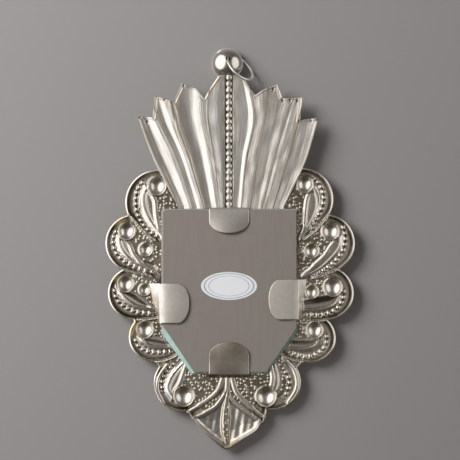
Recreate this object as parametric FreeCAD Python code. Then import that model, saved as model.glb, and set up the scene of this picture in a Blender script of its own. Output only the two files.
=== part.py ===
import FreeCAD, Part
import math
import os

V = FreeCAD.Vector

# A small wall mirror in embossed silver-plated sheet, seen and modelled as it hangs.
# The mirror face looks along -Y, the back along +Y, and +Z is up. The origin lies on the
# centre line, on the outer face of the top clip, which is the part nearest the wall.
# Millimetres. "Across" runs along +X, which is the left side of somebody looking at the back.

# Thicknesses of the stack, from the wall to the front
clip_thickness = 0.5
card_thickness = 1.8
glass_thickness = 3.0
sheet_thickness = 0.6
plume_thickness = 0.5
label_thickness = 0.1

# Glass and card
glass_width = 97.6
glass_height = 117.8
glass_top = 7.9
glass_slope_across = 20.4
glass_slope_up = 34.0
card_side_gap = 0.7
card_top_gap = 0.5
card_foot_gap = 2.0
card_slope_across = 21.0
card_slope_up = 33.2
card_nick = 2.6
label_width = 40.0
label_height = 20.0
label_drop = 47.1

# Border sheet: every table of the border is in shares of its half width, from the window's centre
border_half_width = 90.0
window_drop = 56.0
window_radius = 51.8
hub_radius = 70.0
crest_up = 44.3
crest_radius = 41.0
rim_width = 9.0
rim_depth = 1.7
bezel_half_width = 1.5
bezel_depth = 2.3
dish_depth_share = 0.55
leaf_depth = 1.3
leaf_top_share = 0.4
foot_band_half_width = 1.4
foot_band_depth = 1.6
foot_leaf_depth = 2.2
foot_crown_share = 0.1

# Flame plume
plume_half_width = 68.0
plume_foot_gap = 1.2
plume_tip = 103.9
solder_gap = 0.05

# Ball and ring
ball_radius = 11.25
ball_wall = 0.6
ball_across = 1.3
ball_seat_share = 0.745
ring_wire_radius = 0.78
ring_mean_radius = 11.3
ring_hole_radius = 1.75
ring_butt_gap = 0.3
ring_lean_degrees = 74.0

# Clips
clip_width = 28.5
clip_clearance = 0.2
clip_bend_radius = 1.1
clip_end_radius = 10.0
top_leaf = 17.5
bottom_leaf = 21.5
side_leaf = 19.5
clip_foot = 4.5
upright_lean = 0.8
bottom_lean = 2.6
left_leans = (7.4, 1.2)
right_leans = (1.6, 5.6)
left_clip_z = -59.6
right_clip_z = -56.8

# One overrun for every cut
overrun = 1.0

# Depths of the stack, worked out from the thicknesses
card_back_y = -clip_thickness
card_front_y = card_back_y - card_thickness
glass_front_y = card_front_y - glass_thickness
border_back_y = glass_front_y - clip_thickness
border_front_y = border_back_y - sheet_thickness
window_z = -window_drop

# Scroll lobes from the top down: centre across, centre up and radius, for each side
left_lobe_shares = [
    (0.563, 0.761, 0.262),
    (0.753, 0.437, 0.230),
    (0.753, 0.040, 0.210),
    (0.603, -0.309, 0.194),
    (0.373, -0.674, 0.226),
]
right_lobe_shares = [
    (0.579, 0.786, 0.250),
    (0.770, 0.437, 0.230),
    (0.781, 0.040, 0.210),
    (0.654, -0.318, 0.194),
    (0.349, -0.667, 0.222),
]

# Section of a rim inside its lip: inset as a share of its width, depth as a share of its depth
rim_section_shares = [(0.1, 0), (0.21, 0.92), (0.88, 1), (1, 0)]

# Each rim's first and last direction about its lobe, as shares of a turn from straight up
rim_turn_shares = [(0.02, 0.31), (0.05, 0.39), (0.11, 0.455), (0.17, 0.5), (0.18, 0.56)]

# Tails, where a rim runs on inwards between two lobes: three places of its lip each
left_tail_shares = [
    [(0.800, 0.658), (0.682, 0.527), (0.516, 0.424)],
    [(0.844, 0.230), (0.765, 0.207), (0.683, 0.187)],
    [(0.734, -0.169), (0.708, -0.168), (0.680, -0.166)],
    [(0.590, -0.500), (0.530, -0.499), (0.465, -0.478)],
]
right_tail_shares = [
    [(0.794, 0.662), (0.698, 0.547), (0.532, 0.428)],
    [(0.866, 0.231), (0.780, 0.193), (0.690, 0.163)],
    [(0.776, -0.171), (0.728, -0.177), (0.680, -0.180)],
    [(0.590, -0.500), (0.530, -0.496), (0.470, -0.475)],
]

# Scroll dishes, and the small bosses below the second and third: centre across, up and radius
left_dish_shares = [
    (0.571, 0.893, 0.068),
    (0.812, 0.533, 0.062),
    (0.822, 0.114, 0.060),
    (0.667, -0.248, 0.062),
    (0.358, -0.780, 0.076),
    (0.661, 0.387, 0.049),
    (0.694, 0.067, 0.042),
]
right_dish_shares = [
    (0.604, 0.907, 0.062),
    (0.808, 0.533, 0.064),
    (0.827, 0.088, 0.070),
    (0.683, -0.254, 0.062),
    (0.294, -0.784, 0.076),
    (0.670, 0.375, 0.049),
    (0.694, 0.048, 0.042),
]

# Scroll leaves: upper end, middle of the outer side, lower end and middle of the inner side
left_leaf_shares = [
    [(0.655, 0.870), (0.690, 0.710), (0.540, 0.490), (0.584, 0.690)],
    [(0.862, 0.495), (0.850, 0.360), (0.640, 0.232), (0.752, 0.350)],
    [(0.865, 0.065), (0.800, -0.035), (0.660, -0.070), (0.755, 0.030)],
    [(0.697, -0.316), (0.610, -0.393), (0.522, -0.392), (0.600, -0.325)],
    [(0.388, -0.545), (0.486, -0.655), (0.445, -0.775), (0.393, -0.671)],
]
right_leaf_shares = [
    [(0.666, 0.872), (0.700, 0.695), (0.562, 0.475), (0.608, 0.686)],
    [(0.878, 0.487), (0.833, 0.329), (0.650, 0.195), (0.754, 0.329)],
    [(0.877, 0.015), (0.780, -0.085), (0.660, -0.085), (0.760, 0.005)],
    [(0.712, -0.335), (0.640, -0.405), (0.530, -0.395), (0.610, -0.357)],
    [(0.362, -0.565), (0.402, -0.660), (0.350, -0.760), (0.345, -0.650)],
]

# Foot of the border: outline of the leaf, its two facets and the bands that cross above it
foot_outline_shares = [
    (0.360, -0.880),
    (0.190, -1.071),
    (0.055, -1.192),
    (0.010, -1.206),
    (-0.045, -1.172),
    (-0.190, -1.079),
    (-0.285, -0.975),
    (-0.300, -0.890),
    (0.0, -0.640),
]
foot_facet_shares = [
    [(0.270, -0.975), (0.030, -0.810), (0.036, -1.150)],
    [(-0.235, -1.000), (-0.020, -0.810), (-0.016, -1.140)],
]
foot_band_shares = [
    [(0.018, -0.690), (0.115, -0.835), (0.295, -0.930)],
    [(-0.022, -0.690), (-0.115, -0.840), (-0.250, -0.950)],
]

# Flutes of the plume: height above the top clip and depth of the valleys, both as shares of
# the plume's tip height and half width, then the places of the ridges across as shares of that width
flute_row_shares = [
    (0.090, 0.024, (0.536, 0.388, 0.273, 0.105, 0.0, -0.126, -0.221, -0.347, -0.462, -0.578)),
    (0.412, 0.032, (0.788, 0.546, 0.420, 0.158, 0.0, -0.179, -0.294, -0.473, -0.609, -0.809)),
    (0.722, 0.026, (0.961, 0.767, 0.588, 0.231, 0.0, -0.268, -0.378, -0.609, -0.735, -0.945)),
    (1.010, 0.012, (1.082, 0.914, 0.672, 0.200, 0.0, -0.168, -0.410, -0.777, -0.840, -1.061)),
]

# Outline of the plume's tongues: across in shares of the half width, up in shares of the tip height
plume_outline_shares = [
    (0.536, 0.090),
    (0.756, 0.364),
    (0.885, 0.540),
    (0.963, 0.718),
    (0.798, 0.708),
    (0.787, 0.700),
    (0.762, 0.855),
    (0.609, 0.825),
    (0.567, 0.812),
    (0.476, 0.941),
    (0.336, 0.907),
    (0.262, 0.812),
    (0.200, 0.907),
    (0.109, 0.992),
    (0.060, 1.0),
    (-0.073, 1.0),
    (-0.161, 0.963),
    (-0.242, 0.880),
    (-0.284, 0.845),
    (-0.357, 0.900),
    (-0.491, 0.935),
    (-0.546, 0.840),
    (-0.661, 0.842),
    (-0.753, 0.843),
    (-0.735, 0.722),
    (-0.725, 0.680),
    (-0.777, 0.694),
    (-0.944, 0.706),
    (-0.903, 0.618),
    (-0.798, 0.378),
    (-0.661, 0.206),
    (-0.578, 0.090),
]

# Directions from the ball's centre to the two holes that the ring runs through
back_hole_shares = (-0.044, 0.965, 0.267)
side_hole_shares = (-0.944, -0.188, 0.271)


def border_point(across_share, up_share):
    """Place on the border, as (x, z)."""
    return (across_share * border_half_width, window_z + up_share * border_half_width)


def polygon_face(points, y):
    """Flat face through (x, z) points at depth y."""
    corners = [V(x, y, z) for x, z in points]
    return Part.Face(Part.makePolygon(corners + corners[:1]))


def slab(points, front_y, back_y):
    """Polygon in (x, z) extruded from its front face to its back face."""
    return polygon_face(points, front_y).extrude(V(0, back_y - front_y, 0))


def disc_face(x, z, radius, y):
    """Flat round face."""
    return Part.Face(Part.Wire(Part.makeCircle(radius, V(x, y, z), V(0, 1, 0))))


def drum(x, z, radius, front_y, back_y):
    """Round bar along Y."""
    return disc_face(x, z, radius, front_y).extrude(V(0, back_y - front_y, 0))


def drafted_width(half_width, top_share, depth, level):
    """Half width of a pressed form at a level above (+) or below (-) the sheet's back face."""
    return half_width * (1 + (1 - top_share) * level / depth)


def channel(centre, radius, first, last, half_width, depth):
    """Solid that fills a pressed channel, swept about a centre from one angle to another.

    Angles are in degrees from straight up, growing towards +X.
    """
    wide = drafted_width(half_width, 0, depth, overrun)
    x, z = centre
    top_y = border_back_y + overrun
    corners = [
        V(0, top_y, radius - wide),
        V(0, top_y, radius + wide),
        V(0, border_back_y - depth, radius),
    ]
    section = Part.Face(Part.makePolygon(corners + corners[:1]))
    section.rotate(V(0, 0, 0), V(0, 1, 0), min(first, last))
    section.translate(V(x, 0, z))
    return section.revolve(V(x, 0, z), V(0, 1, 0), abs(last - first))


def scroll_channel(centre, radius, first, last, wall):
    """Solid that fills a rim's channel on the inner side of a lip of this radius."""
    x, z = centre
    shares = rim_section_shares
    sides = [-wall] * (len(shares) // 2) + [wall] * (len(shares) // 2)
    insets = [inset * rim_width + side for (inset, deep), side in zip(shares, sides)]
    corners = [V(0, border_back_y + overrun, radius - insets[0])]
    for inset, (across, deep) in zip(insets, shares):
        depth = deep * rim_depth + wall
        corners.append(V(0, border_back_y - depth, radius - inset))
    corners.append(V(0, border_back_y + overrun, radius - insets[-1]))
    section = Part.Face(Part.makePolygon(corners + corners[:1]))
    turn = math.degrees(wall / radius)
    section.rotate(V(0, 0, 0), V(0, 1, 0), min(first, last) - turn)
    section.translate(V(x, 0, z))
    return section.revolve(V(x, 0, z), V(0, 1, 0), abs(last - first) + 2 * turn)


def circle_through(first, middle, last):
    """Centre, radius and end angles of the arc through three (x, z) points."""
    arc = Part.Arc(*[V(x, 0, z) for x, z in (first, middle, last)]).toShape().Curve
    centre = arc.Center
    angles = [math.degrees(math.atan2(x - centre.x, z - centre.z)) for x, z in (first, middle, last)]
    start = angles[0]
    end = angles[2]
    while end - start > 180:
        end -= 360
    while end - start < -180:
        end += 360
    return (centre.x, centre.z), arc.Radius, start, end


def lens_wire(corners, wall, grow, y):
    """Closed pair of arcs through four (x, z) points, moved out by a wall and grown or shrunk."""
    tip, outer, end, inner = [V(x, y, z) for x, z in corners]
    middle = (outer + inner) * 0.5
    moved = []
    for point in (tip, outer, end, inner):
        reach = point - middle
        moved.append(middle + reach * grow + V(reach).normalize() * wall)
    tip, outer, end, inner = moved
    arcs = [Part.Arc(tip, outer, end).toShape(), Part.Arc(end, inner, tip).toShape()]
    return Part.Wire(arcs)


def leaf_form(corners, wall):
    """Solid that fills a pressed leaf; wall is zero for the hollow, or the sheet's thickness."""
    wide = drafted_width(1, leaf_top_share, leaf_depth, overrun)
    wires = [
        lens_wire(corners, wall, wide, border_back_y + overrun),
        lens_wire(corners, wall, leaf_top_share, border_back_y - leaf_depth - wall),
    ]
    return Part.makeLoft(wires, True, True)


def facet_form(corners, depth, grow):
    """Solid that fills a pressed facet with sloping sides."""
    middle_x = sum(x for x, z in corners) / len(corners)
    middle_z = sum(z for x, z in corners) / len(corners)
    wires = []
    levels = [(1, border_back_y + overrun), (1, border_back_y), (foot_crown_share, border_back_y - depth)]
    for share, y in levels:
        points = []
        for x, z in corners:
            reach = V(x - middle_x, 0, z - middle_z)
            reach = reach * share + V(reach).normalize() * grow
            points.append(V(middle_x, y, middle_z) + reach)
        wires.append(Part.makePolygon(points + points[:1]))
    return Part.makeLoft(wires, True, True)


def dish_form(centre, radius, depth):
    """Ball that fills a pressed dish of this mouth radius and depth."""
    x, z = centre
    ball = (radius ** 2 + depth ** 2) / (2 * depth)
    return Part.makeSphere(ball, V(x, border_back_y - depth + ball, z))


def border_outline():
    """Flat face of the whole border, before the window is cut."""
    faces = [disc_face(0, window_z, hub_radius, border_front_y)]
    faces.append(disc_face(0, window_z + crest_up, crest_radius, border_front_y))
    for side, shares in ((1, left_lobe_shares), (-1, right_lobe_shares)):
        for across, up, radius in shares:
            x, z = border_point(side * across, up)
            faces.append(disc_face(x, z, radius * border_half_width, border_front_y))
    foot = [border_point(across, up) for across, up in foot_outline_shares]
    faces.append(polygon_face(foot, border_front_y))
    return faces[0].fuse(faces[1:]).removeSplitter().Faces[0]


def mirrored(side, shares):
    """Places on one side of the border, as (x, z); side is 1 or -1."""
    return [border_point(side * across, up) for across, up in shares]


def border_forms(wall):
    """Every pressed form of the border; wall is zero for the hollow, or the sheet's thickness."""
    forms = []
    for side, lobes, tails, dishes, leaves in (
        (1, left_lobe_shares, left_tail_shares, left_dish_shares, left_leaf_shares),
        (-1, right_lobe_shares, right_tail_shares, right_dish_shares, right_leaf_shares),
    ):
        for (across, up, radius), (first, last) in zip(lobes, rim_turn_shares):
            centre = border_point(side * across, up)
            ends = (side * first * 360, side * last * 360)
            forms.append(scroll_channel(centre, radius * border_half_width, *ends, wall))
        for shares in tails:
            forms.append(scroll_channel(*circle_through(*mirrored(side, shares)), wall))
        for across, up, radius in dishes:
            size = radius * border_half_width
            centre = border_point(side * across, up)
            forms.append(dish_form(centre, size + wall, size * dish_depth_share + wall))
        for shares in leaves:
            forms.append(leaf_form(mirrored(side, shares), wall))
    for shares in foot_facet_shares:
        corners = [border_point(across, up) for across, up in shares]
        forms.append(facet_form(corners, foot_leaf_depth + wall, wall))
    for shares in foot_band_shares:
        points = [border_point(across, up) for across, up in shares]
        centre, radius, start, end = circle_through(*points)
        forms.append(
            channel(centre, radius, start, end, foot_band_half_width + wall, foot_band_depth + wall)
        )
    middle = window_radius + 2 * bezel_half_width
    forms.append(
        channel((0, window_z), middle, 0, 360, bezel_half_width + wall, bezel_depth + wall)
    )
    return forms


def border_sheet():
    """The embossed sheet: a flat plate, its raised forms, and the same forms hollowed out."""
    plate = border_outline().extrude(V(0, sheet_thickness, 0))
    window = drum(0, window_z, window_radius, border_front_y - border_half_width, overrun)
    solid = plate.fuse(border_forms(sheet_thickness))
    span = 3 * border_half_width
    back_trim = Part.makeBox(span, span, span, V(-span / 2, border_back_y, window_z - span / 2))
    solid = solid.cut(back_trim)
    solid = solid.cut(border_forms(0))
    return solid.cut(window).removeSplitter()


def flute_wire(height_share, depth_share, ridge_shares):
    """Closed section of the plume at one height: valleys that just clear the border's back."""
    z = height_share * plume_tip
    depth = depth_share * plume_half_width
    low = border_back_y + solder_gap
    ridge = low + depth + plume_thickness
    edges = []
    for y, shares in ((ridge, ridge_shares), (ridge - plume_thickness, ridge_shares[::-1])):
        places = [share * plume_half_width for share in shares]
        for here, there in zip(places, places[1:]):
            middle = V((here + there) / 2, y - depth, z)
            edges.append(Part.Arc(V(here, y, z), middle, V(there, y, z)).toShape())
        end = V(places[-1], y, z)
        other = ridge if y < ridge else ridge - plume_thickness
        edges.append(Part.makeLine(end, V(places[-1], other, z)))
    return Part.Wire(edges)


def flame_plume():
    """Fluted sheet, lofted through four sections and cut to its tongues."""
    fan = Part.makeLoft([flute_wire(*row) for row in flute_row_shares], True, True)
    outline = [(across * plume_half_width, up * plume_tip) for across, up in plume_outline_shares]
    tongues = slab(outline, border_front_y - plume_half_width, border_back_y + plume_half_width)
    foot = glass_top + clip_thickness + plume_foot_gap
    size = 2 * plume_half_width
    below = Part.makeBox(2 * size, size, size, V(-size, border_back_y - size / 2, foot - size))
    return fan.common(tongues).cut(below)


def ball_centre():
    """Centre of the ball, so that its back just meets the front of the plume's tip."""
    tip_front = border_back_y + solder_gap + flute_row_shares[-1][1] * plume_half_width / 2
    seat_drop = ball_radius * ball_seat_share
    reach_back = math.sqrt(ball_radius ** 2 - seat_drop ** 2)
    return V(ball_across, tip_front - reach_back, plume_tip + seat_drop)


def ball_shell(facing):
    """Half of the hollow ball; facing is 1 for the wall side and -1 for the front."""
    centre = ball_centre()
    outer = Part.makeSphere(ball_radius, centre)
    inner = Part.makeSphere(ball_radius - ball_wall, centre)
    size = 2 * ball_radius
    start_y = centre.y if facing > 0 else centre.y - size
    half = Part.makeBox(2 * size, size, 2 * size, V(centre.x - size, start_y, centre.z - size))
    shell = outer.cut(inner).common(half)
    for shares in (back_hole_shares, side_hole_shares):
        shell = shell.cut(Part.makeCylinder(ring_hole_radius, size, centre, V(*shares)))
    return shell


def ring_frame():
    """Middle of the swing line, its direction, the ring's centre and its plane's normal."""
    centre = ball_centre()
    back = centre + V(*back_hole_shares).normalize() * (ball_radius - ball_wall / 2)
    side = centre + V(*side_hole_shares).normalize() * (ball_radius - ball_wall / 2)
    middle = (back + side) * 0.5
    along = (back - side).normalize()
    outward = middle - centre
    outward = (outward - along * outward.dot(along)).normalize()
    down = along.cross(outward)
    if down.z > 0:
        down = down * -1
    half_chord = (back - side).Length / 2
    reach = math.sqrt(ring_mean_radius ** 2 - half_chord ** 2)
    lean = math.radians(ring_lean_degrees)
    towards = outward * math.cos(lean) + down * math.sin(lean)
    return middle, along, middle + towards * reach, towards.cross(along)


def hanging_ring():
    """Wire ring, butted inside the ball."""
    middle, along, centre, normal = ring_frame()
    inward = (middle - centre).normalize()
    gap_turn = math.degrees(ring_butt_gap / ring_mean_radius)
    start = Part.Face(
        Part.Wire(
            Part.makeCircle(ring_wire_radius, centre + inward * ring_mean_radius, inward.cross(normal))
        )
    )
    start.rotate(centre, normal, gap_turn / 2)
    return start.revolve(centre, normal, 360 - gap_turn)


def rounded_wire(points, radii):
    """Closed wire through points, with a tangent arc at each corner that has a radius."""
    edges = []
    trims = []
    for i, (corner, radius) in enumerate(zip(points, radii)):
        before = (points[i - 1] - corner).normalize()
        after = (points[(i + 1) % len(points)] - corner).normalize()
        half_angle = before.getAngle(after) / 2
        reach = radius / math.tan(half_angle)
        bisector = (before + after).normalize()
        crown = corner + bisector * (radius / math.sin(half_angle) - radius)
        trims.append((corner + before * reach, crown, corner + after * reach))
    for i, (start, crown, end) in enumerate(trims):
        if radii[i] > 0:
            edges.append(Part.Arc(start, crown, end).toShape())
        edges.append(Part.makeLine(end, trims[(i + 1) % len(trims)][0]))
    return Part.Wire(edges)


def clip_profile(edge, along, lean, foot, leaf_length):
    """Side edge of a clip: leaf, leaning riser and, where there is room under the glass, a foot."""
    up = V(0, 1, 0)
    t = clip_thickness
    rise = -border_back_y
    slant = math.hypot(lean, rise)
    inner = clip_bend_radius - t
    corners = [
        (-t, 0, clip_bend_radius),
        (leaf_length, 0, 0),
        (leaf_length, -t, 0),
        (t * (slant - lean) / rise - t, -t, inner),
    ]
    if foot > 0:
        corners.append((t * slant / rise - t - lean, t - rise, inner))
        corners.append((foot - lean - t, t - rise, 0))
        corners.append((foot - lean - t, -rise, 0))
        corners.append((-lean - t, -rise, clip_bend_radius))
    else:
        corners.append((t * slant / rise - t - lean, -rise, 0))
        corners.append((-lean - t, -rise, 0))
    points = [edge + along * u + up * w for u, w, radius in corners]
    return rounded_wire(points, [radius for u, w, radius in corners])


def clip(seat, inward, leaf_length, foot, leans):
    """Bent strip: a riser that stands on the border and a rounded leaf over the card.

    seat is the (x, z) point of the glass edge at the clip's middle, inward the direction
    from there over the card, and leans how far the riser's base stands out at each side.
    """
    along = V(inward[0], 0, inward[1])
    side = along.cross(V(0, 1, 0)) * (clip_width / 2)
    edge = V(seat[0], 0, seat[1]) - along * clip_clearance
    strip = Part.makeLoft(
        [
            clip_profile(edge - side, along, leans[0], foot, leaf_length),
            clip_profile(edge + side, along, leans[1], foot, leaf_length),
        ],
        True,
        True,
    )
    low = edge + V(0, border_back_y - overrun, 0)
    back = along * (-max(leans) - clip_thickness - overrun)
    end = along * leaf_length
    corners = [low + back - side, low + end - side, low + end + side, low + back + side]
    outline = Part.Face(rounded_wire(corners, [0, clip_end_radius, clip_end_radius, 0]))
    return strip.common(outline.extrude(V(0, 2 * overrun - border_back_y, 0)))


def pane(top, width, height, slope_across, slope_up, nick):
    """Outline of the glass or card: straight top, sides, and two sloping lower corners."""
    half = width / 2
    low = top - height
    return [
        (-half + nick, top),
        (half - nick, top),
        (half, top - nick),
        (half, low + slope_up),
        (half - slope_across, low),
        (-half + slope_across, low),
        (-half, low + slope_up),
        (-half, top - nick),
    ]


def mirror_glass():
    """Silvered glass, resting on the border and on the feet of two clips."""
    outline = pane(
        glass_top, glass_width, glass_height, glass_slope_across, glass_slope_up, clip_thickness
    )
    return slab(outline, glass_front_y, card_front_y)


def backing_card():
    """Grey card behind the glass, a little smaller and nicked at its upper corners."""
    top = glass_top - card_top_gap
    width = glass_width - 2 * card_side_gap
    height = glass_height - card_top_gap - card_foot_gap
    outline = pane(top, width, height, card_slope_across, card_slope_up, card_nick)
    return slab(outline, card_front_y, card_back_y)


def back_label():
    """Blank oval paper label on the card."""
    oval = Part.Ellipse(V(0, card_back_y, -label_drop), label_width / 2, label_height / 2)
    edge = oval.toShape()
    edge.rotate(V(0, card_back_y, -label_drop), V(1, 0, 0), 90)
    return Part.Face(Part.Wire(edge)).extrude(V(0, label_thickness, 0))


# The four clips: glass edge at the clip's middle, direction over the card, length of the leaf
# and the foot, and how far the riser's base stands out at its two sides
half_glass = glass_width / 2
glass_low = glass_top - glass_height
clip_seats = {
    "clip_top": ((0, glass_top), (0, -1), top_leaf, clip_foot, (upright_lean, upright_lean)),
    "clip_bottom": ((0, glass_low), (0, 1), bottom_leaf, clip_foot, (bottom_lean, bottom_lean)),
    "clip_left": ((half_glass, left_clip_z), (-1, 0), side_leaf, 0, left_leans),
    "clip_right": ((-half_glass, right_clip_z), (1, 0), side_leaf, 0, right_leans),
}


def build():
    """Every piece under its own name."""
    pieces = {
        "border_sheet": border_sheet(),
        "flame_plume": flame_plume(),
        "ball_back_shell": ball_shell(1),
        "ball_front_shell": ball_shell(-1),
        "hanging_ring": hanging_ring(),
        "mirror_glass": mirror_glass(),
        "backing_card": backing_card(),
        "back_label": back_label(),
    }
    for name, seat in clip_seats.items():
        pieces[name] = clip(*seat)
    return pieces


os.makedirs("parts", exist_ok=True)
for name, shape in build().items():
    solids = shape.Solids
    shape = solids[0] if len(solids) == 1 else Part.makeCompound(solids)
    shape.exportStep(f"parts/{name}.step")
    box = shape.BoundBox
    print(f"{name}: {len(solids)} solid, valid {shape.isValid()}, volume {shape.Volume:.1f} mm3")
    print(f"  x {box.XMin:.2f} {box.XMax:.2f}  y {box.YMin:.2f} {box.YMax:.2f}")
    print(f"  z {box.ZMin:.2f} {box.ZMax:.2f}")
middle, along, centre, normal = ring_frame()
print("ring swings about", middle, "along", along, "ring centre", centre)
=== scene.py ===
# %% [markdown]
# # A small wall mirror in embossed silver plate
#
# The mirror is seen from its back: a beaten border with ten scroll lobes, a fluted plume of
# flames, a hollow ball with a wire ring, and four folded clips that hold glass and card.
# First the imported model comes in, and with it every size that follows.

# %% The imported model
import math

import bmesh
import bpy
import numpy as np
from mathutils import Matrix, Vector


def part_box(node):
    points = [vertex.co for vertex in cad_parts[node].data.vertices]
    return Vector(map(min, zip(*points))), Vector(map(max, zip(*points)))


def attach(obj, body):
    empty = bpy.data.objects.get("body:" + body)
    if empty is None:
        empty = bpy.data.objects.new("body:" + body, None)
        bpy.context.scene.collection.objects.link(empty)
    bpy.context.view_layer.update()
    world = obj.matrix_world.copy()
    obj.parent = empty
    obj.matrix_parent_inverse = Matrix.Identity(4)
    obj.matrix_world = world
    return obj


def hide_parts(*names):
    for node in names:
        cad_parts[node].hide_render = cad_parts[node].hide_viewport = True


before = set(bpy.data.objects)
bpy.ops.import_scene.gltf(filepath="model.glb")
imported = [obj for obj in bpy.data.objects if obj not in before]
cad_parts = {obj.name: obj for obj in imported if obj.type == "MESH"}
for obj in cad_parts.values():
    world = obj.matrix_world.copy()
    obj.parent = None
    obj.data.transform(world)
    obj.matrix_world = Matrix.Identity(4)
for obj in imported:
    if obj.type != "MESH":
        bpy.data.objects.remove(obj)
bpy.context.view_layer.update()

border_low, border_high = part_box("border_sheet")
ball_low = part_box("ball_back_shell")[0]
glass_low, glass_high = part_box("mirror_glass")
card_low, card_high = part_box("backing_card")
label_low, label_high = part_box("back_label")
clip_low, clip_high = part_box("clip_top")
print("the border is", round((border_high.x - border_low.x) * 1000, 1), "mm wide")

# %% [markdown]
# ## Sizes
#
# All places on the border are shares of its half width, counted from the middle of the round
# window. Across is positive on the left of the picture, because the camera is behind the mirror.

# %% Sizes taken from the model
mm = 0.001
widest_share = 0.983
foot_tip_share = -1.206
half_width = border_high.x / widest_share
window_z = border_low.z - foot_tip_share * half_width
window_radius = 51.8 * mm
back_y = clip_low.y
plume_width_share = 68 / 90
plume_half_width = half_width * plume_width_share
plume_tip_over_ball = 2.87 * mm
plume_tip = ball_low.z + plume_tip_over_ball
plume_scale = np.array((plume_half_width, plume_tip))
print("half width", round(half_width / mm, 1), "mm, plume's tip at", round(plume_tip / mm, 1), "mm")

# %% [markdown]
# ## Curves drawn with a few points
#
# Beaten ornament is made of flowing lines. They could be cut into the mesh as edges, but then
# every change of a line would need a new mesh. Here a few points and a smooth curve through them
# say where a line runs, and every relief below is a height that follows the distance to one.


# %% A smooth curve, and the distance to it
def smooth_line(points, steps=8):
    """Points along a smooth curve through the given ones."""
    p = np.array(points, float)
    p = np.vstack([2 * p[0] - p[1], p, 2 * p[-1] - p[-2]])
    t = np.linspace(0, 1, steps, endpoint=False)[:, None]
    spans = []
    for a, b, c, d in zip(p, p[1:], p[2:], p[3:]):
        bend = (2 * a - 5 * b + 4 * c - d) * t**2
        twist = (3 * b - a - 3 * c + d) * t**3
        spans.append(0.5 * (2 * b + (c - a) * t + bend + twist))
    return np.vstack(spans + [p[-2:-1]])


# Points further away than this from a line don't feel it.
far = 12 * mm


def measure(xz, line):
    """For every point: distance to the line, the side it lies on, and the length run along it.

    The line's own length comes last.
    """
    near = ((xz > line.min(0) - far) & (xz < line.max(0) + far)).all(1)
    close = xz[near]
    gap, side, run = np.full(len(close), far), np.zeros(len(close)), np.zeros(len(close))
    length = 0.0
    for a, b in zip(line, line[1:]):
        step = b - a
        size = np.hypot(*step)
        t = np.clip(((close - a) @ step) / size**2, 0, 1)
        off = close - a - t[:, None] * step
        d = np.hypot(off[:, 0], off[:, 1])
        nearer = d < gap
        gap[nearer] = d[nearer]
        side[nearer] = np.sign(step[0] * off[nearer, 1] - step[1] * off[nearer, 0])
        run[nearer] = length + t[nearer] * size
        length += size
    results = []
    for elsewhere, found in ((far, gap), (0.0, side), (0.0, run)):
        result = np.full(len(xz), elsewhere)
        result[near] = found
        results.append(result)
    return *results, length


print("a curve through three points has", len(smooth_line([(0, 0), (1, 0), (1, 1)])), "points")


# %% Steps, stripes and loops
def ramp(value, low, high):
    """Smooth step from 0 at low to 1 at high."""
    t = np.clip((value - low) / (high - low), 0, 1)
    return t * t * (3 - 2 * t)


def stripe(value, start, full, fading, end):
    """Share that grows from start to full, and goes back to 0 from fading to end."""
    return ramp(value, start, full) * (1 - ramp(value, fading, end))


def half_round(distance, radius):
    """Share of a wire's height at a distance from its middle line."""
    return np.sqrt(np.clip(1 - (distance / radius) ** 2, 0, 1))


def in_polygon(xz, loop):
    """True for the points inside a closed loop."""
    inside = np.zeros(len(xz), bool)
    x, z = xz.T
    for (ax, az), (bx, bz) in zip(loop, np.roll(loop, -1, 0)):
        crosses = (az > z) != (bz > z)
        if az != bz:
            inside ^= crosses & (x < (bx - ax) * (z - az) / (bz - az) + ax)
    return inside


def on_border(points):
    """Shares of the border's half width as places in metres."""
    return np.array(points, float) * half_width + (0, window_z)


def directions(angle):
    """Across and up for each angle from straight up."""
    return np.stack([np.sin(angle), np.cos(angle)], 1)


print("halfway up a ramp is", ramp(0.5, 0, 1))

# %% [markdown]
# ## The border's ornament
#
# Each lobe is a scroll: a rim that rolls over, a row of beads, a hollow leaf between two
# ridges, and a round dish where the scroll ends. One scroll could be drawn and repeated, but no
# two of the hand-beaten ones are alike, so the tables hold the lines of all ten, five on each
# side from the top down.

# %% Lobes, outline of the foot, and dishes
lobe_shares = [
    (0.563, 0.761, 0.262), (0.753, 0.437, 0.230), (0.753, 0.040, 0.210), (0.603, -0.309, 0.194),
    (0.373, -0.674, 0.226), (-0.579, 0.786, 0.250), (-0.770, 0.437, 0.230), (-0.781, 0.040, 0.210),
    (-0.654, -0.318, 0.194), (-0.349, -0.667, 0.222),
]
hub_share = 0.778
crest_shares = (0.0, 0.492, 0.456)
foot_outline_shares = [
    (0.360, -0.880), (0.190, -1.071), (0.055, -1.192), (0.010, -1.206), (-0.045, -1.172),
    (-0.190, -1.079), (-0.285, -0.975), (-0.300, -0.890), (0.0, -0.640),
]
dish_shares = [
    (0.571, 0.893, 0.068), (0.812, 0.533, 0.062), (0.822, 0.114, 0.060), (0.667, -0.248, 0.062),
    (0.358, -0.780, 0.076), (-0.604, 0.907, 0.062), (-0.808, 0.533, 0.064), (-0.827, 0.088, 0.070),
    (-0.683, -0.254, 0.062), (-0.294, -0.784, 0.076),
    (0.661, 0.387, 0.049), (0.670, 0.067, 0.042), (-0.657, 0.375, 0.052), (-0.657, 0.048, 0.048),
]
print(len(lobe_shares), "lobes and", len(dish_shares), "dishes")

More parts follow.
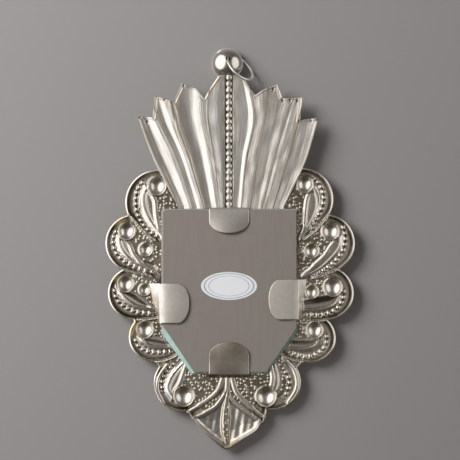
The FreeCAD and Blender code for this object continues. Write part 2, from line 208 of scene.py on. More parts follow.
# %% Rows of beads, and the two lines of each leaf
bead_row_shares = [
    [(0.677, 0.940), (0.734, 0.836), (0.730, 0.686), (0.658, 0.559), (0.552, 0.487)],
    [(0.889, 0.551), (0.923, 0.464), (0.896, 0.364), (0.809, 0.281), (0.658, 0.214)],
    [(0.914, 0.083), (0.900, 0.011), (0.849, -0.052), (0.743, -0.108), (0.603, -0.124)],
    [(0.750, -0.314), (0.722, -0.377), (0.651, -0.421), (0.563, -0.433), (0.468, -0.425)],
    [(0.447, -0.536), (0.500, -0.584), (0.532, -0.655), (0.528, -0.750)],
    [(-0.651, 0.963), (-0.722, 0.908), (-0.755, 0.813), (-0.730, 0.694), (-0.630, 0.527)],
    [(-0.904, 0.583), (-0.927, 0.479), (-0.896, 0.360), (-0.793, 0.249), (-0.643, 0.178)],
    [(-0.912, 0.075), (-0.908, -0.005), (-0.857, -0.084), (-0.754, -0.131), (-0.611, -0.136)],
    [(-0.775, -0.282), (-0.770, -0.377), (-0.706, -0.441), (-0.611, -0.465), (-0.476, -0.433)],
    [(-0.440, -0.568), (-0.482, -0.655), (-0.464, -0.742), (-0.436, -0.790)],
]
leaf_shares = [
    ([(0.666, 0.892), (0.697, 0.797), (0.682, 0.694), (0.627, 0.590), (0.547, 0.487)],
     [(0.643, 0.868), (0.592, 0.781), (0.581, 0.670), (0.563, 0.575), (0.532, 0.471)]),
    ([(0.873, 0.519), (0.886, 0.456), (0.857, 0.368), (0.770, 0.285), (0.619, 0.218)],
     [(0.849, 0.479), (0.793, 0.424), (0.754, 0.341), (0.682, 0.263), (0.595, 0.202)]),
    ([(0.889, 0.099), (0.873, 0.039), (0.809, -0.028), (0.714, -0.080), (0.603, -0.092)],
     [(0.841, 0.051), (0.762, 0.039), (0.698, -0.005), (0.603, -0.076)]),
    ([(0.714, -0.306), (0.694, -0.346), (0.627, -0.389), (0.532, -0.401), (0.468, -0.401)],
     [(0.674, -0.326), (0.603, -0.322), (0.476, -0.350)]),
    ([(0.365, -0.496), (0.447, -0.584), (0.488, -0.655), (0.500, -0.726), (0.452, -0.806)],
     [(0.341, -0.520), (0.368, -0.603), (0.393, -0.671), (0.428, -0.734)]),
    ([(-0.674, 0.884), (-0.706, 0.797), (-0.701, 0.702), (-0.651, 0.590), (-0.571, 0.479)],
     [(-0.658, 0.860), (-0.624, 0.797), (-0.608, 0.686), (-0.595, 0.559), (-0.551, 0.464)]),
    ([(-0.889, 0.495), (-0.889, 0.416), (-0.833, 0.329), (-0.730, 0.233), (-0.603, 0.162)],
     [(-0.865, 0.479), (-0.809, 0.408), (-0.754, 0.329), (-0.666, 0.249), (-0.579, 0.170)]),
    ([(-0.889, 0.011), (-0.841, -0.060), (-0.722, -0.096), (-0.595, -0.100)],
     [(-0.865, 0.030), (-0.738, 0.018), (-0.595, -0.018)]),
    ([(-0.722, -0.322), (-0.690, -0.385), (-0.603, -0.413), (-0.476, -0.405)],
     [(-0.706, -0.330), (-0.587, -0.336), (-0.476, -0.330)]),
    ([(-0.373, -0.520), (-0.401, -0.615), (-0.401, -0.703), (-0.357, -0.782)],
     [(-0.333, -0.536), (-0.349, -0.631), (-0.333, -0.726)]),
]
print(len(bead_row_shares), "rows of beads and", len(leaf_shares), "leaves")

# %% Tails of the rims, and the lines of the foot
tail_shares = [
    [(0.805, 0.662), (0.754, 0.610), (0.682, 0.527), (0.611, 0.471), (0.516, 0.424)],
    [(0.849, 0.231), (0.800, 0.216), (0.743, 0.200), (0.658, 0.182), (0.563, 0.154)],
    [(0.738, -0.169), (0.690, -0.168), (0.627, -0.165), (0.516, -0.147)],
    [(0.594, -0.503), (0.539, -0.500), (0.460, -0.477), (0.373, -0.425)],
    [(-0.799, 0.667), (-0.762, 0.622), (-0.698, 0.547), (-0.627, 0.487), (-0.532, 0.428)],
    [(-0.871, 0.233), (-0.820, 0.211), (-0.730, 0.174), (-0.603, 0.146)],
    [(-0.781, -0.172), (-0.730, -0.178), (-0.635, -0.179), (-0.547, -0.163)],
    [(-0.594, -0.503), (-0.516, -0.494), (-0.436, -0.461), (-0.357, -0.401)],
]
band_shares = [
    [(0.492, -0.528), (0.557, -0.623), (0.570, -0.726), (0.524, -0.838)],
    [(-0.432, -0.477), (-0.505, -0.552), (-0.539, -0.647), (-0.528, -0.734), (-0.468, -0.830)],
]
foot_ridge_shares = [
    [(0.052, -0.640), (0.087, -0.730), (0.151, -0.795), (0.236, -0.851), (0.321, -0.901)],
    [(0.016, -0.738), (0.052, -0.795), (0.108, -0.865), (0.194, -0.915), (0.280, -0.952)],
    [(-0.026, -0.640), (-0.055, -0.738), (-0.104, -0.802), (-0.175, -0.865), (-0.275, -0.946)],
    [(0.016, -0.738), (-0.012, -0.802), (-0.069, -0.851), (-0.133, -0.901), (-0.236, -0.972)],
    [(0.012, -0.640), (0.016, -0.738)],
]
foot_edge_shares = [
    [(0.280, -0.952), (0.228, -1.014), (0.143, -1.085), (0.060, -1.150), (0.018, -1.178)],
    [(-0.236, -0.972), (-0.218, -1.038), (-0.133, -1.094), (-0.041, -1.146), (0.018, -1.178)],
]
foot_rib_shares = [(0.010, -0.760), (0.024, -0.925), (0.030, -1.052), (0.018, -1.163)]
foot_side_shares = [foot_ridge_shares[1], foot_edge_shares[0], foot_edge_shares[1], foot_ridge_shares[3]]
print(len(tail_shares), "tails and", len(foot_ridge_shares), "ridges on the foot")

# %% [markdown]
# ## Outline of the border
#
# The outline is a union of discs, one for each lobe, with the pointed foot below. Booleans could
# join them. But seen from the window's middle, every direction meets the outline once, so a grid
# bent round the window can run from the window's edge to the outline and follow the lobes exactly.


# %% Reach of the border in every direction
def disc_reach(angle, across, up, radius):
    """How far a disc reaches from the window's middle, in shares, along each angle from straight up."""
    along = across * np.sin(angle) + up * np.cos(angle)
    apart = across**2 + up**2 - along**2
    inside = radius**2 - apart
    return np.where(inside > 0, along + np.sqrt(np.maximum(inside, 0)), 0)


def edge_reach(angle, a, b):
    """The same for a straight edge from a to b."""
    way = directions(angle)
    ax, az = a
    dx, dz = b[0] - a[0], b[1] - a[1]
    cross = way[:, 0] * dz - way[:, 1] * dx
    cross = np.where(np.abs(cross) < 1e-9, 1e-9, cross)
    reach = (ax * dz - az * dx) / cross
    share = (ax * way[:, 1] - az * way[:, 0]) / cross
    return np.where((share >= 0) & (share <= 1) & (reach > 0), reach, 0)


def border_reach(angle):
    """How far the whole border reaches, in metres."""
    reach = disc_reach(angle, 0, 0, hub_share)
    for disc in lobe_shares + [crest_shares]:
        reach = np.maximum(reach, disc_reach(angle, *disc))
    for a, b in zip(foot_outline_shares, foot_outline_shares[1:]):
        reach = np.maximum(reach, edge_reach(angle, a, b))
    return reach * half_width


print("straight up the border reaches", round(border_reach(np.zeros(1))[0] / mm, 1), "mm")

# %% Distance from the outline
outline_count = 2400
outline_search = 70
outline_angles = np.arange(outline_count) / outline_count * 2 * math.pi
outline = directions(outline_angles) * border_reach(outline_angles)[:, None] + (0, window_z)


def edge_distance(xz):
    """How far each point is from the outline, found among the outline's points in its direction."""
    turn = np.arctan2(xz[:, 0], xz[:, 1] - window_z) / (2 * math.pi) * outline_count
    middle = np.round(turn).astype(int)
    best = np.full(len(xz), far)
    for offset in range(-outline_search, outline_search + 1):
        near = outline[(middle + offset) % outline_count]
        best = np.minimum(best, np.hypot(*(xz - near).T))
    return best


print("the outline is", round(np.ptp(outline[:, 1]) / mm, 1), "mm high")

# %% [markdown]
# ## Rims of the border
#
# The sheet is beaten from this side, so the rims, leaves and dishes that stand out at the front
# are hollows here, and the lines between them are ridges. Sculpting could shape them by hand. A
# height worked out for every point of a fine grid can be tuned line by line instead. What lies
# deep also gets a share of patina, and some places get painted shade on top; the metal reads both later on.

# %% Profile of a rim
lip_width = 1.3 * mm
lip_roll = 1.0 * mm
lip_drop = 0.5 * mm
rim_depth = 1.55 * mm
row_depth = 1.7 * mm
ground_depth = 0.55 * mm
row_end = (8.4 * mm, 10 * mm)


def rim_profile(d):
    """Height against the distance from an edge: lip, steep groove, channel, row of beads, ground."""
    height = -lip_drop * np.clip(1 - d / lip_roll, 0, 1) ** 1.5
    height -= rim_depth * ramp(d, lip_width * 0.75, lip_width * 1.5)
    height += (rim_depth - row_depth) * ramp(d, lip_width * 2, lip_width * 4)
    return height + (row_depth - ground_depth) * ramp(d, *row_end)


print("the channel lies", round(-rim_profile(5 * mm) / mm, 2), "mm deep")

# %% Rims and tails
tail_fade = 5 * mm
rim_stain = (1.0 * mm, 1.5 * mm)
rim_stain_end = (2.2 * mm, 4.5 * mm)
tail_stain = (1.2 * mm, 1.6 * mm, 1.9 * mm, 2.8 * mm)
ground_start = (8 * mm, 9 * mm)


def rim_and_tails(xz):
    """Rims along the outline, run on inwards by the tails of the scrolls.

    Gives height, patina, the share of punched ground, and the distance from the outline.
    """
    edge = edge_distance(xz)
    nearest = edge.copy()
    below = np.full(len(xz), far)
    for points in tail_shares:
        d, side, run, length = measure(xz, smooth_line(on_border(points)))
        above = (side * np.sign(points[0][0]) < 0) & (run > 0)
        faded = d + tail_fade * ramp(run, length * 0.75, length)
        nearest = np.where(above, np.minimum(nearest, faded), nearest)
        below = np.where(~above & (run > 0), np.minimum(below, faded), below)
    off_lip = ramp(below, lip_width * 0.4, lip_width)
    patina = ramp(nearest, *rim_stain) * (1 - 0.8 * ramp(nearest, *rim_stain_end)) * off_lip
    patina = np.maximum(patina, 0.5 * stripe(below, *tail_stain))
    return rim_profile(nearest) * off_lip, patina, ramp(nearest, *ground_start) * off_lip, edge


print(len(tail_shares), "rims run on as tails")

# %% [markdown]
# ## Beads and punched ground
#
# Beads are struck from the other side with a hollow punch, so here they are domes in a row. The
# ground between the ornaments is stippled with a small punch, without a pattern. Both could be
# separate small balls, but thousands of them cost far more faces than a height on the grid.

# %% Rows of beads
bead_pitch = 4.1 * mm
bead_radius = 1.75 * mm
bead_height = 1.4 * mm


def bead_row(xz, line):
    """Round beads along a line, the band they stand on, and the pits between them."""
    d, side, run, length = measure(xz, line)
    inside = (run > 0) & (run < length)
    phase = (run / bead_pitch) % 1 - 0.5
    bead = half_round(np.hypot(d, phase * bead_pitch), bead_radius) * bead_height
    band = 1 - ramp(d, bead_radius * 0.8, bead_radius * 1.3)
    between = np.hypot(d, (0.5 - np.abs(phase)) * bead_pitch)
    pit = 1 - ramp(between, 0.3 * bead_radius, 0.75 * bead_radius)
    return bead * inside, band * inside, pit * inside


def add_beads(xz, height, patina, ground):
    """All the rows, with patina in the pits and round the beads."""
    for points in bead_row_shares:
        bead, band, pit = bead_row(xz, smooth_line(on_border(points)))
        height = height * (1 - band) + band * -row_depth + bead
        ground = ground * (1 - band)
        around = 0.22 * (1 - ramp(bead, 0, 0.3 * bead_height))
        patina = patina * (1 - band) + np.maximum(0.9 * pit, band * around)
    return height, patina, ground


print("beads are", round(2 * bead_radius / mm, 1), "mm wide, one each", round(bead_pitch / mm, 1), "mm")

# %% Punched ground
stipple_pitch = 2.5 * mm
stipple_radius = 0.85 * mm
stipple_height = 0.42 * mm


def scatter(cell, a, b):
    """A place from 0.15 to 0.85 in each cell, that looks random but is the same in each run."""
    seed = np.sin(cell[:, 0] * a + cell[:, 1] * b) * 43758.5453
    return (seed - np.floor(seed)) * 0.7 + 0.15


def stipple(xz):
    """Small punched dots on a jittered grid, with one in four left out."""
    cell = np.floor(xz / stipple_pitch)
    best = np.full(len(xz), 9.0)
    for i in (-1, 0, 1):
        for j in (-1, 0, 1):
            c = cell + (i, j)
            jx, jz = scatter(c, 127.1, 311.7), scatter(c, 269.5, 183.3)
            spot = (c + np.stack([jx, jz], 1)) * stipple_pitch
            struck = (jx * 7.3 + jz * 3.1) % 1 > 0.25
            best = np.where(struck, np.minimum(best, np.hypot(*(xz - spot).T)), best)
    return stipple_height * half_round(best, stipple_radius)


print("dots are", round(2 * stipple_radius / mm, 1), "mm wide")

# %% [markdown]
# ## Leaves and ridges
#
# A leaf is a hollow between two lines. From its outer line it drops steeply to a crease, and the
# hollow runs on from there to the ridge at its inner line. The part of the hollow towards the inner
# line gets painted shade, dark on four of the leaves and light on the rest. The inside is found
# with a loop of the two lines, so a leaf may be of any shape.

# %% Leaves
ridge_width = 1.7 * mm
leaf_depth = 1.3 * mm
leaf_flank = 1.2 * mm
leaf_crease = 1.8 * mm
leaf_surround = 2 * mm
least_leaf_width = 0.1 * mm
leaf_opening = (2.2 * mm, 4.5 * mm)
deep_shade_opening = (1.5 * mm, 3 * mm)
crease_stain = (0.2 * mm, 0.6 * mm)
# These four leaves get dark painted shade in their hollows, and narrower ridges.
deep_shaded_leaves = (2, 3, 7, 8)
# Depth from the crease to the inner line, as (share of the way, share of the depth).
leaf_section_shares = [(0, -1.0), (0.4, -0.82), (1, -1.0)]


def add_leaf(xz, height, patina, ground, outer, inner, darkened):
    """One leaf between its outer and inner line."""
    d_out, d_in = measure(xz, outer)[0], measure(xz, inner)[0]
    reach, width = np.minimum(d_out, d_in), d_out + d_in
    inside = in_polygon(xz, np.vstack([outer, inner[::-1]]))
    wire = 0.5 * ridge_width if darkened else ridge_width
    crest = half_round(reach, wire)
    share = (d_out - leaf_crease) / np.maximum(width - leaf_crease, least_leaf_width)
    fade = ramp(width, *leaf_opening)
    hollow = fade * np.interp(share, *zip(*leaf_section_shares)) * ramp(d_out, leaf_flank, leaf_crease)
    hollow *= 1 - half_round(d_in, wire)
    body = leaf_depth * (hollow - 0.35 * np.clip(1 - d_out / leaf_flank, 0, 1))
    flank = 1 - np.clip(d_out / (1.5 * leaf_flank), 0, 1)
    outside = height * (1 - flank) - 0.35 * leaf_depth * flank
    raised = np.where(d_out < d_in, outside, height * (1 - crest))
    height = np.where(inside, body, np.where(reach < leaf_surround, raised, height))
    ground = ground * ((1 - inside) * ramp(reach, ridge_width, ridge_width * 1.2))
    crease = fade * (1 - ramp(np.abs(d_out - leaf_crease), *crease_stain))
    deep = ramp(width, *deep_shade_opening) if darkened else fade
    # Painted shade in the part of the hollow towards the inner line, dark on the four leaves above.
    shade = deep * ramp(share, 0.3, 0.55) * ramp(d_in, 0.5 * wire, wire)
    stain_and_shade = 0.6 * crease + (1.0 if darkened else 0.2) * shade
    return height, np.where(inside, stain_and_shade, patina * (1 - crest)), ground


def add_leaves(xz, height, patina, ground):
    """All the leaves."""
    for k, lines in enumerate(leaf_shares):
        outer, inner = (smooth_line(on_border(points)) for points in lines)
        height, patina, ground = add_leaf(xz, height, patina, ground, outer, inner, k in deep_shaded_leaves)
    return height, patina, ground


print(len(deep_shaded_leaves), "of the leaves are brown")

# %% Ridges beside and on the foot
ridge_stain = (1.3 * mm, 1.7 * mm, 1.9 * mm, 2.8 * mm)


def add_ridges(xz, height, patina, ground):
    """Half-round ridges with a dark line beside them."""
    for points in band_shares + foot_ridge_shares + foot_edge_shares:
        d = measure(xz, smooth_line(on_border(points)))[0]
        bare = 1 - half_round(d, ridge_width)
        height = height * bare
        ground = ground * ramp(d, ridge_width, ridge_width * 1.3)
        patina = np.maximum(patina * bare, 0.7 * stripe(d, *ridge_stain))
    return height, patina, ground


print("ridges are", round(2 * ridge_width / mm, 1), "mm wide")

# %% [markdown]
# ## Dishes
#
# A dish is struck with a ball punch, so it is a part of a ball, with a thin lip pushed up round
# its mouth. A spun bowl set into a hole would need its edge joined to the sheet. As a height it
# needs no join, and the lip blends into whatever lies beside it.

# %% Round dishes
dish_depth_share = 0.55
# Strength of the painted shade in the upper part of each dish.
dish_top_shade = 0.45
dish_lip_middle = 0.4 * mm
dish_lip_half = (0.2 * mm, 0.9 * mm)
dish_lip_height = 0.15 * mm
dish_stain_reach = 0.8 * mm
dish_clear = (1.0 * mm, 1.4 * mm)
dish_ring = (0.9 * mm, 1.3 * mm, 1.5 * mm, 2.2 * mm)


def add_dishes(xz, height, patina, ground):
    """Dishes with their lips; the upper part of each gets painted shade."""
    for across, up, radius in dish_shares:
        r = radius * half_width
        off = xz - on_border((across, up))
        d = np.hypot(*off.T)
        depth = r * dish_depth_share
        ball = (r**2 + depth**2) / (2 * depth)
        bowl = np.sqrt(np.maximum(ball**2 - d**2, 0)) - (ball - depth)
        lip = 1 - ramp(np.abs(d - r - dish_lip_middle), *dish_lip_half)
        height = np.where(d < r, -bowl, height * (1 - lip)) + lip * dish_lip_height
        ground = ground * ramp(d - r, *dish_clear)
        # Painted shade in the upper part of each dish, and a little patina towards its rim.
        top = ramp(off[:, 1], 0.1 * r, 0.7 * r) * (1 - ramp(np.abs(off[:, 0]), 0.2 * r, 0.6 * r))
        stain_and_shade = 0.12 * ramp(d, 0.6 * r, r) + dish_top_shade * top
        around = np.maximum(patina, 0.6 * stripe(d - r, *dish_ring))
        patina = np.where(d < r + dish_stain_reach, stain_and_shade, around)
    return height, patina, ground


print(len(dish_shares), "dishes, each as deep as", dish_depth_share, "of its radius")

# %% [markdown]
# ## The foot
#
# The foot ends in a pointed leaf: two hollows, beaten with long strokes, on the two sides of a
# punched rib. The strokes are two crossing waves, which cost nothing and catch the light unevenly.

# %% Leaf at the foot
foot_hollow_depth = 1.8 * mm
foot_flank = (0.7 * mm, 2.6 * mm)
foot_bowl = 8 * mm
rib_half_width = 2.1 * mm
rib_flank = 1.6 * mm
rib_height = 0.2 * mm
# Band beside the rib that gets patina and painted shade.
rib_shade_band = (0, 0.3 * mm, 0.7 * mm, 1.8 * mm)
stroke_height = 0.12 * mm
# Lengths of the two waves, across and up.
strokes = ((0.8 * mm, 5 * mm), (1.7 * mm, -7 * mm))


def add_foot(xz, height, patina, ground):
    """The pointed leaf, in place of whatever the rims put there."""
    sides = [smooth_line(on_border(points)) for points in foot_side_shares]
    in_foot = in_polygon(xz, np.vstack([sides[0], sides[1], sides[2][::-1], sides[3][::-1]]))
    side_gap = np.min([measure(xz, side)[0] for side in sides], axis=0)
    rib, rib_side, run, length = measure(xz, smooth_line(on_border(foot_rib_shares)))
    beside_rib = rib - rib_half_width * (0.35 + 0.65 * np.sin(np.clip(run / length, 0, 1) * math.pi))
    hollow = 0.45 * ramp(side_gap, *foot_flank) + 0.55 * np.clip(side_gap / foot_bowl, 0, 1)
    hollow *= ramp(beside_rib, 0, rib_flank)
    wave = sum(np.sin(xz[:, 0] / across + xz[:, 1] / up) for across, up in strokes)
    leaf = -foot_hollow_depth * hollow * ramp(side_gap, 0.35 * ridge_width, ridge_width)
    leaf += rib_height * (beside_rib < 0) - rib_height + stroke_height * wave * hollow
    # A dark band beside the rib: patina in the groove, made darker by painted shade on the right of the
    # picture.
    stain_and_shade = np.where(rib_side < 0, 0.9, 0.5) * stripe(beside_rib, *rib_shade_band) + 0.12
    height = np.where(in_foot, leaf, height)
    return height, np.where(in_foot, stain_and_shade, patina), np.where(in_foot, (beside_rib < 0) * 0.6, ground)


print("the rib is up to", round(2 * rib_half_width / mm, 1), "mm wide")

# %% Worn places and the whole relief
# Places where the plating has worn to brass: across, up and radius.
border_brass_shares = [
    (0.881, 0.638, 0.09), (0.917, 0.186, 0.07), (0.770, -0.250, 0.10), (0.549, -0.513, 0.08),
    (-0.587, 0.535, 0.06), (-0.040, -1.163, 0.08), (-0.620, -0.520, 0.06),
]
plume_brass_shares = [(0.170, 0.920, 0.10), (0.540, 0.800, 0.05), (-0.700, 0.700, 0.04)]
brass_reach = (2 * mm, 5 * mm)
highest_relief = 0.3 * mm


def brass(xz, places, scale, edge, origin=(0, 0)):
    """How much of the brass shows through, by the distance to the worn places and to the edge."""
    worn = np.zeros(len(xz))
    for across, up, radius in places:
        centre = np.array((across, up)) * scale + origin
        worn = np.maximum(worn, 1 - ramp(np.hypot(*((xz - centre) / scale).T), 0.3 * radius, radius))
    return worn * (1 - ramp(edge, *brass_reach))


def border_relief(xz):
    """Height of the sheet over its flat back, patina with painted shade, and distance from the edge, for
    every point.
    """
    height, patina, ground, edge = rim_and_tails(xz)
    for add in (add_beads, add_leaves, add_ridges, add_dishes, add_foot):
        height, patina, ground = add(xz, height, patina, ground)
    dots = stipple(xz)
    height = height + ground * dots
    patina = np.maximum(patina, 0.56 * ground * (1 - 0.9 * dots / stipple_height))
    return np.minimum(height, highest_relief), np.clip(patina, 0, 1), edge


print(len(border_brass_shares) + len(plume_brass_shares), "worn places")

# %% [markdown]
# ## The beaten border
#
# A grid is bent round the window in four quarters, because one piece would have too many faces.
# Each point is moved to its place and pushed by the relief, and solidify gives the sheet its
# thickness towards the front. There the raised forms are polished, so little patina stays.

# %% A bent grid
sharp_angle = math.radians(70)
polished_share = 0.4


def finish_piece(name, bm):
    """Turns a bmesh into an object of the scene."""
    mesh = bpy.data.meshes.new(name)
    bm.to_mesh(mesh)
    bm.free()
    piece = bpy.data.objects.new(name, mesh)
    bpy.context.scene.collection.objects.link(piece)
    print(name, len(mesh.polygons), "faces")
    return piece


def bent_grid(name, columns, rows, place, thickness):
    """A grid of columns by rows whose points are moved by place(u, v), then given a thickness.

    place gets shares from 0 to 1, and gives back the places and a dict of point attributes.
    """
    bm = bmesh.new()
    bmesh.ops.create_grid(bm, x_segments=columns, y_segments=rows, size=1)
    uv = np.array([v.co[:2] for v in bm.verts]) * 0.5 + 0.5
    xyz, attributes = place(uv[:, 0], uv[:, 1])
    layers = {key: bm.verts.layers.float.new(key) for key in attributes}
    for i, v in enumerate(bm.verts):
        v.co = xyz[i]
        for key, layer in layers.items():
            v[layer] = attributes[key][i]
    bmesh.ops.recalc_face_normals(bm, faces=bm.faces[:])
    if sum(f.normal.y for f in bm.faces) < 0:
        bmesh.ops.reverse_faces(bm, faces=bm.faces[:])
    for f in bm.faces:
        f.smooth = True
    bmesh.ops.solidify(bm, geom=bm.faces[:], thickness=thickness)
    bm.normal_update()
    for v in bm.verts:
        if v.normal.y < 0:
            v[layers["patina"]] *= polished_share
    for e in bm.edges:
        if e.calc_face_angle(0) > sharp_angle:
            e.smooth = False
    return finish_piece(name, bm)


# %% Four quarters of the border
quarter_columns = 300
quarter_rows = 110
sheet_thickness = 0.5 * mm
border_sink = 0.05 * mm
bezel_middle = 1.3 * mm
bezel_half_width = 1.3 * mm
bezel_depth = 1.9 * mm
# Beside the glass the ornament runs on to the window's edge, and no bezel shows.
bezel_end = (42 * mm, 47 * mm)


def border_quarter(turn):
    """Places the points of one quarter, from a turn of the whole circle onwards."""

    def place(u, v):
        angle = (turn + u / 4) * 2 * math.pi
        inward = (border_reach(angle) - window_radius) * (1 - (1 - v) ** 1.25)
        xz = directions(angle) * (window_radius + inward)[:, None] + (0, window_z)
        height, patina, edge = border_relief(xz)
        shown = 1 - ramp(np.abs(xz[:, 0]), *bezel_end)
        flat = 1 - ramp(inward, bezel_middle + bezel_half_width, bezel_middle + 2 * bezel_half_width)
        bezel = 1 - ramp(np.abs(inward - bezel_middle), 0, bezel_half_width)
        height = height * (1 - flat * shown) - bezel_depth * bezel * shown
        worn = brass(xz, border_brass_shares, half_width, edge, (0, window_z))
        y = back_y - border_sink + height
        return np.stack([xz[:, 0], y, xz[:, 1]], 1), {"patina": patina, "brass": worn}

    return place


border_pieces = []
for i, corner in enumerate(("upper_left", "lower_left", "lower_right", "upper_right")):
    quarter = border_quarter(i / 4)
    border_pieces.append(
        bent_grid("border_" + corner, quarter_columns, quarter_rows, quarter, sheet_thickness)
    )

# %% [markdown]
# ## The fluted plume
#
# The plume is a sheet pressed into flutes that fan out from the top clip. Each flute is a
# valley between two crisp ridges. A plain grid would blur the ridges. Here the columns follow
# the flutes, so the ridges stay sharp, and each column ends where it leaves the tongues.

# %% Lines of the flutes and tongues
flute_height_shares = [0.090, 0.412, 0.722, 1.010]
flute_shares = [
    (0.536, 0.388, 0.273, 0.105, 0.0, -0.126, -0.221, -0.347, -0.462, -0.578),
    (0.788, 0.546, 0.420, 0.158, 0.0, -0.179, -0.294, -0.473, -0.609, -0.809),
    (0.961, 0.767, 0.588, 0.231, 0.0, -0.268, -0.378, -0.609, -0.735, -0.945),
    (1.082, 0.914, 0.672, 0.200, 0.0, -0.168, -0.410, -0.777, -0.840, -1.061),
]
tongue_shares = [
    (0.536, 0.080), (0.756, 0.364), (0.885, 0.540), (0.963, 0.718), (0.798, 0.708), (0.787, 0.700),
    (0.762, 0.855), (0.609, 0.825), (0.567, 0.812), (0.476, 0.941), (0.336, 0.907), (0.254, 0.840),
    (0.200, 0.907), (0.109, 0.992), (0.060, 1.0), (-0.073, 1.0), (-0.161, 0.963), (-0.242, 0.880),
    (-0.272, 0.862), (-0.357, 0.900), (-0.491, 0.935), (-0.546, 0.840), (-0.661, 0.842),
    (-0.753, 0.843), (-0.735, 0.722), (-0.725, 0.680), (-0.777, 0.694), (-0.944, 0.706),
    (-0.903, 0.618), (-0.798, 0.378), (-0.661, 0.206), (-0.578, 0.080),
]
plume_foot = glass_high.z + 0.15 * mm
flute_count = len(flute_shares[0]) - 1
tongue_loop = np.array(tongue_shares) * plume_scale
print(flute_count, "flutes from", round(plume_foot / mm, 1), "to", round(plume_tip / mm, 1), "mm")


# %% Columns that follow the flutes
def flute_across(place, height):
    """Where a column runs at each height: place counts flutes from the left of the picture."""
    lines = np.array(flute_shares) * plume_half_width
    levels = np.array(flute_height_shares) * plume_tip
    index = np.clip(np.floor(place).astype(int), 0, flute_count - 1)
    share = place - index
    at_level = lines[:, index] * (1 - share) + lines[:, index + 1] * share
    slopes = np.gradient(at_level, axis=0)
    x = np.zeros(len(place))
    for k in range(len(levels) - 1):
        t = np.clip((height - levels[k]) / (levels[k + 1] - levels[k]), 0, 1)
        curve = (2 * t**3 - 3 * t**2 + 1) * at_level[k] + (t**3 - 2 * t**2 + t) * slopes[k]
        curve += (3 * t**2 - 2 * t**3) * at_level[k + 1] + (t**3 - t**2) * slopes[k + 1]
        x = np.where((height >= levels[k]) | (k == 0), curve, x)
    return x


tongues_start = 20 * mm
outer_trim = 0.975


def column_tops(places):
    """Height at which each column leaves the tongues."""
    tops = np.full(len(places), plume_foot)
    alive = np.ones(len(places), bool)
    for h in np.linspace(plume_foot, plume_tip * 1.005, 400):
        level = np.full(len(places), h)
        if h > tongues_start:
            xz = np.stack([flute_across(places, level) * outer_trim, level], 1)
            alive &= in_polygon(xz, tongue_loop)
        tops = np.where(alive, h, tops)
    return tops


print("the middle column ends at", round(column_tops(np.array([4.0]))[0] / mm, 1), "mm")

# %% Height across the flutes
# Height across each flute, from left to right, as (share of its width, millimetres) points.
flute_forms = [
    [(0, 0), (0.12, -0.8), (0.40, -1.6), (0.86, -0.1), (1, 0)],
    [(0, 0), (0.12, -0.7), (0.40, -1.3), (0.78, -0.2), (1, 0)],
    [(0, 0), (0.14, -0.8), (0.52, -1.5), (0.84, -0.15), (1, -0.1)],
    [(0, 0), (0.08, -0.6), (0.45, -0.35), (0.75, -0.6), (1, -0.9)],
    [(0, -1.2), (0.35, -0.95), (0.74, -1.05), (0.96, 0), (1, 0)],
    [(0, 0), (0.08, -0.6), (0.85, 0), (1, 0)],
    [(0, 0), (0.07, -0.60), (0.55, -0.5), (0.95, 0), (1, 0)],
    [(0, 0), (0.07, -0.55), (0.35, -0.25), (1, 0)],
    [(0, 0), (0.07, -0.60), (0.5, -0.45), (1, 0)],
]
full_flute_width = 9 * mm
flute_wave_height = 0.10 * mm


def section(share, points):
    """Height at each share of the way across, eased from one (share, height) point to the next."""
    height = np.full(len(share), float(points[0][1]))
    for (a, low), (b, high) in zip(points, points[1:]):
        height += (high - low) * ramp(share, a, b)
    return height


def flute_relief(index, share, width, z):
    """Height of the flutes, lower where they are narrow and towards the tips, and a little wavy."""
    height = np.zeros(len(z))
    for k, form in enumerate(flute_forms):
        height = np.where(index == k, section(share, form) * mm, height)
    height *= np.minimum(1, width / full_flute_width) * (1 - 0.4 * ramp(z, 0.8 * plume_tip, plume_tip))
    wave = np.sin(z / (5.3 * mm) + 2.1 * index) + np.sin(z / (2.9 * mm) + 4.7 * index)
    return height + flute_wave_height * wave * np.sin(share * math.pi) ** 2


print(len(flute_forms), "forms of flute")

# %% Creases, cups and beads of the plume
fold_shares = [
    [(0.630, 0.828), (0.583, 0.780), (0.553, 0.718), (0.531, 0.621), (0.480, 0.524), (0.441, 0.460),
     (0.383, 0.385)],
    [(0.304, 0.838), (0.280, 0.694), (0.231, 0.550), (0.170, 0.428), (0.119, 0.309), (0.085, 0.180)],
]
fold_height = 0.5 * mm
fold_flank = (0.2 * mm, 1.6 * mm)
# Width of the painted shade on the right of each fold.
fold_shade_band = (0.3 * mm, 0.7 * mm, 0.9 * mm, 1.6 * mm)
fold_start = 3 * mm
fold_end = 5 * mm
# Small cups where the tongues' tips curl over.
cup_shares = [
    (0.939, 0.711), (0.865, 0.676), (0.758, 0.856), (0.677, 0.832), (0.480, 0.925), (-0.461, 0.900),
    (-0.560, 0.822), (-0.640, 0.822), (-0.714, 0.820), (-0.923, 0.690), (-0.861, 0.684),
]
cup_radius = 1.5 * mm
cup_depth = 0.8 * mm
plume_bead_radius = 2.5 * mm
plume_bead_pitch = 4.53 * mm
plume_bead_height = 1.9 * mm


def folds(xz):
    """Sharp folds that run down two of the flutes: their height, and the shade on their right."""
    height, shade = np.zeros(len(xz)), np.zeros(len(xz))
    for points in fold_shares:
        d, side, run, length = measure(xz, smooth_line(np.array(points) * plume_scale))
        shown = stripe(run, 0, fold_start, length - fold_end, length)
        height += shown * fold_height * (1 - ramp(d, *fold_flank))
        shade = np.maximum(shade, shown * (side > 0) * stripe(d, *fold_shade_band))
    return height, shade


def cups(xz):
    """How much each point belongs to one of the small cups."""
    gaps = [np.hypot(*(xz - centre).T) for centre in np.array(cup_shares) * plume_scale]
    return 1 - ramp(np.array(gaps), 0.3 * cup_radius, cup_radius)


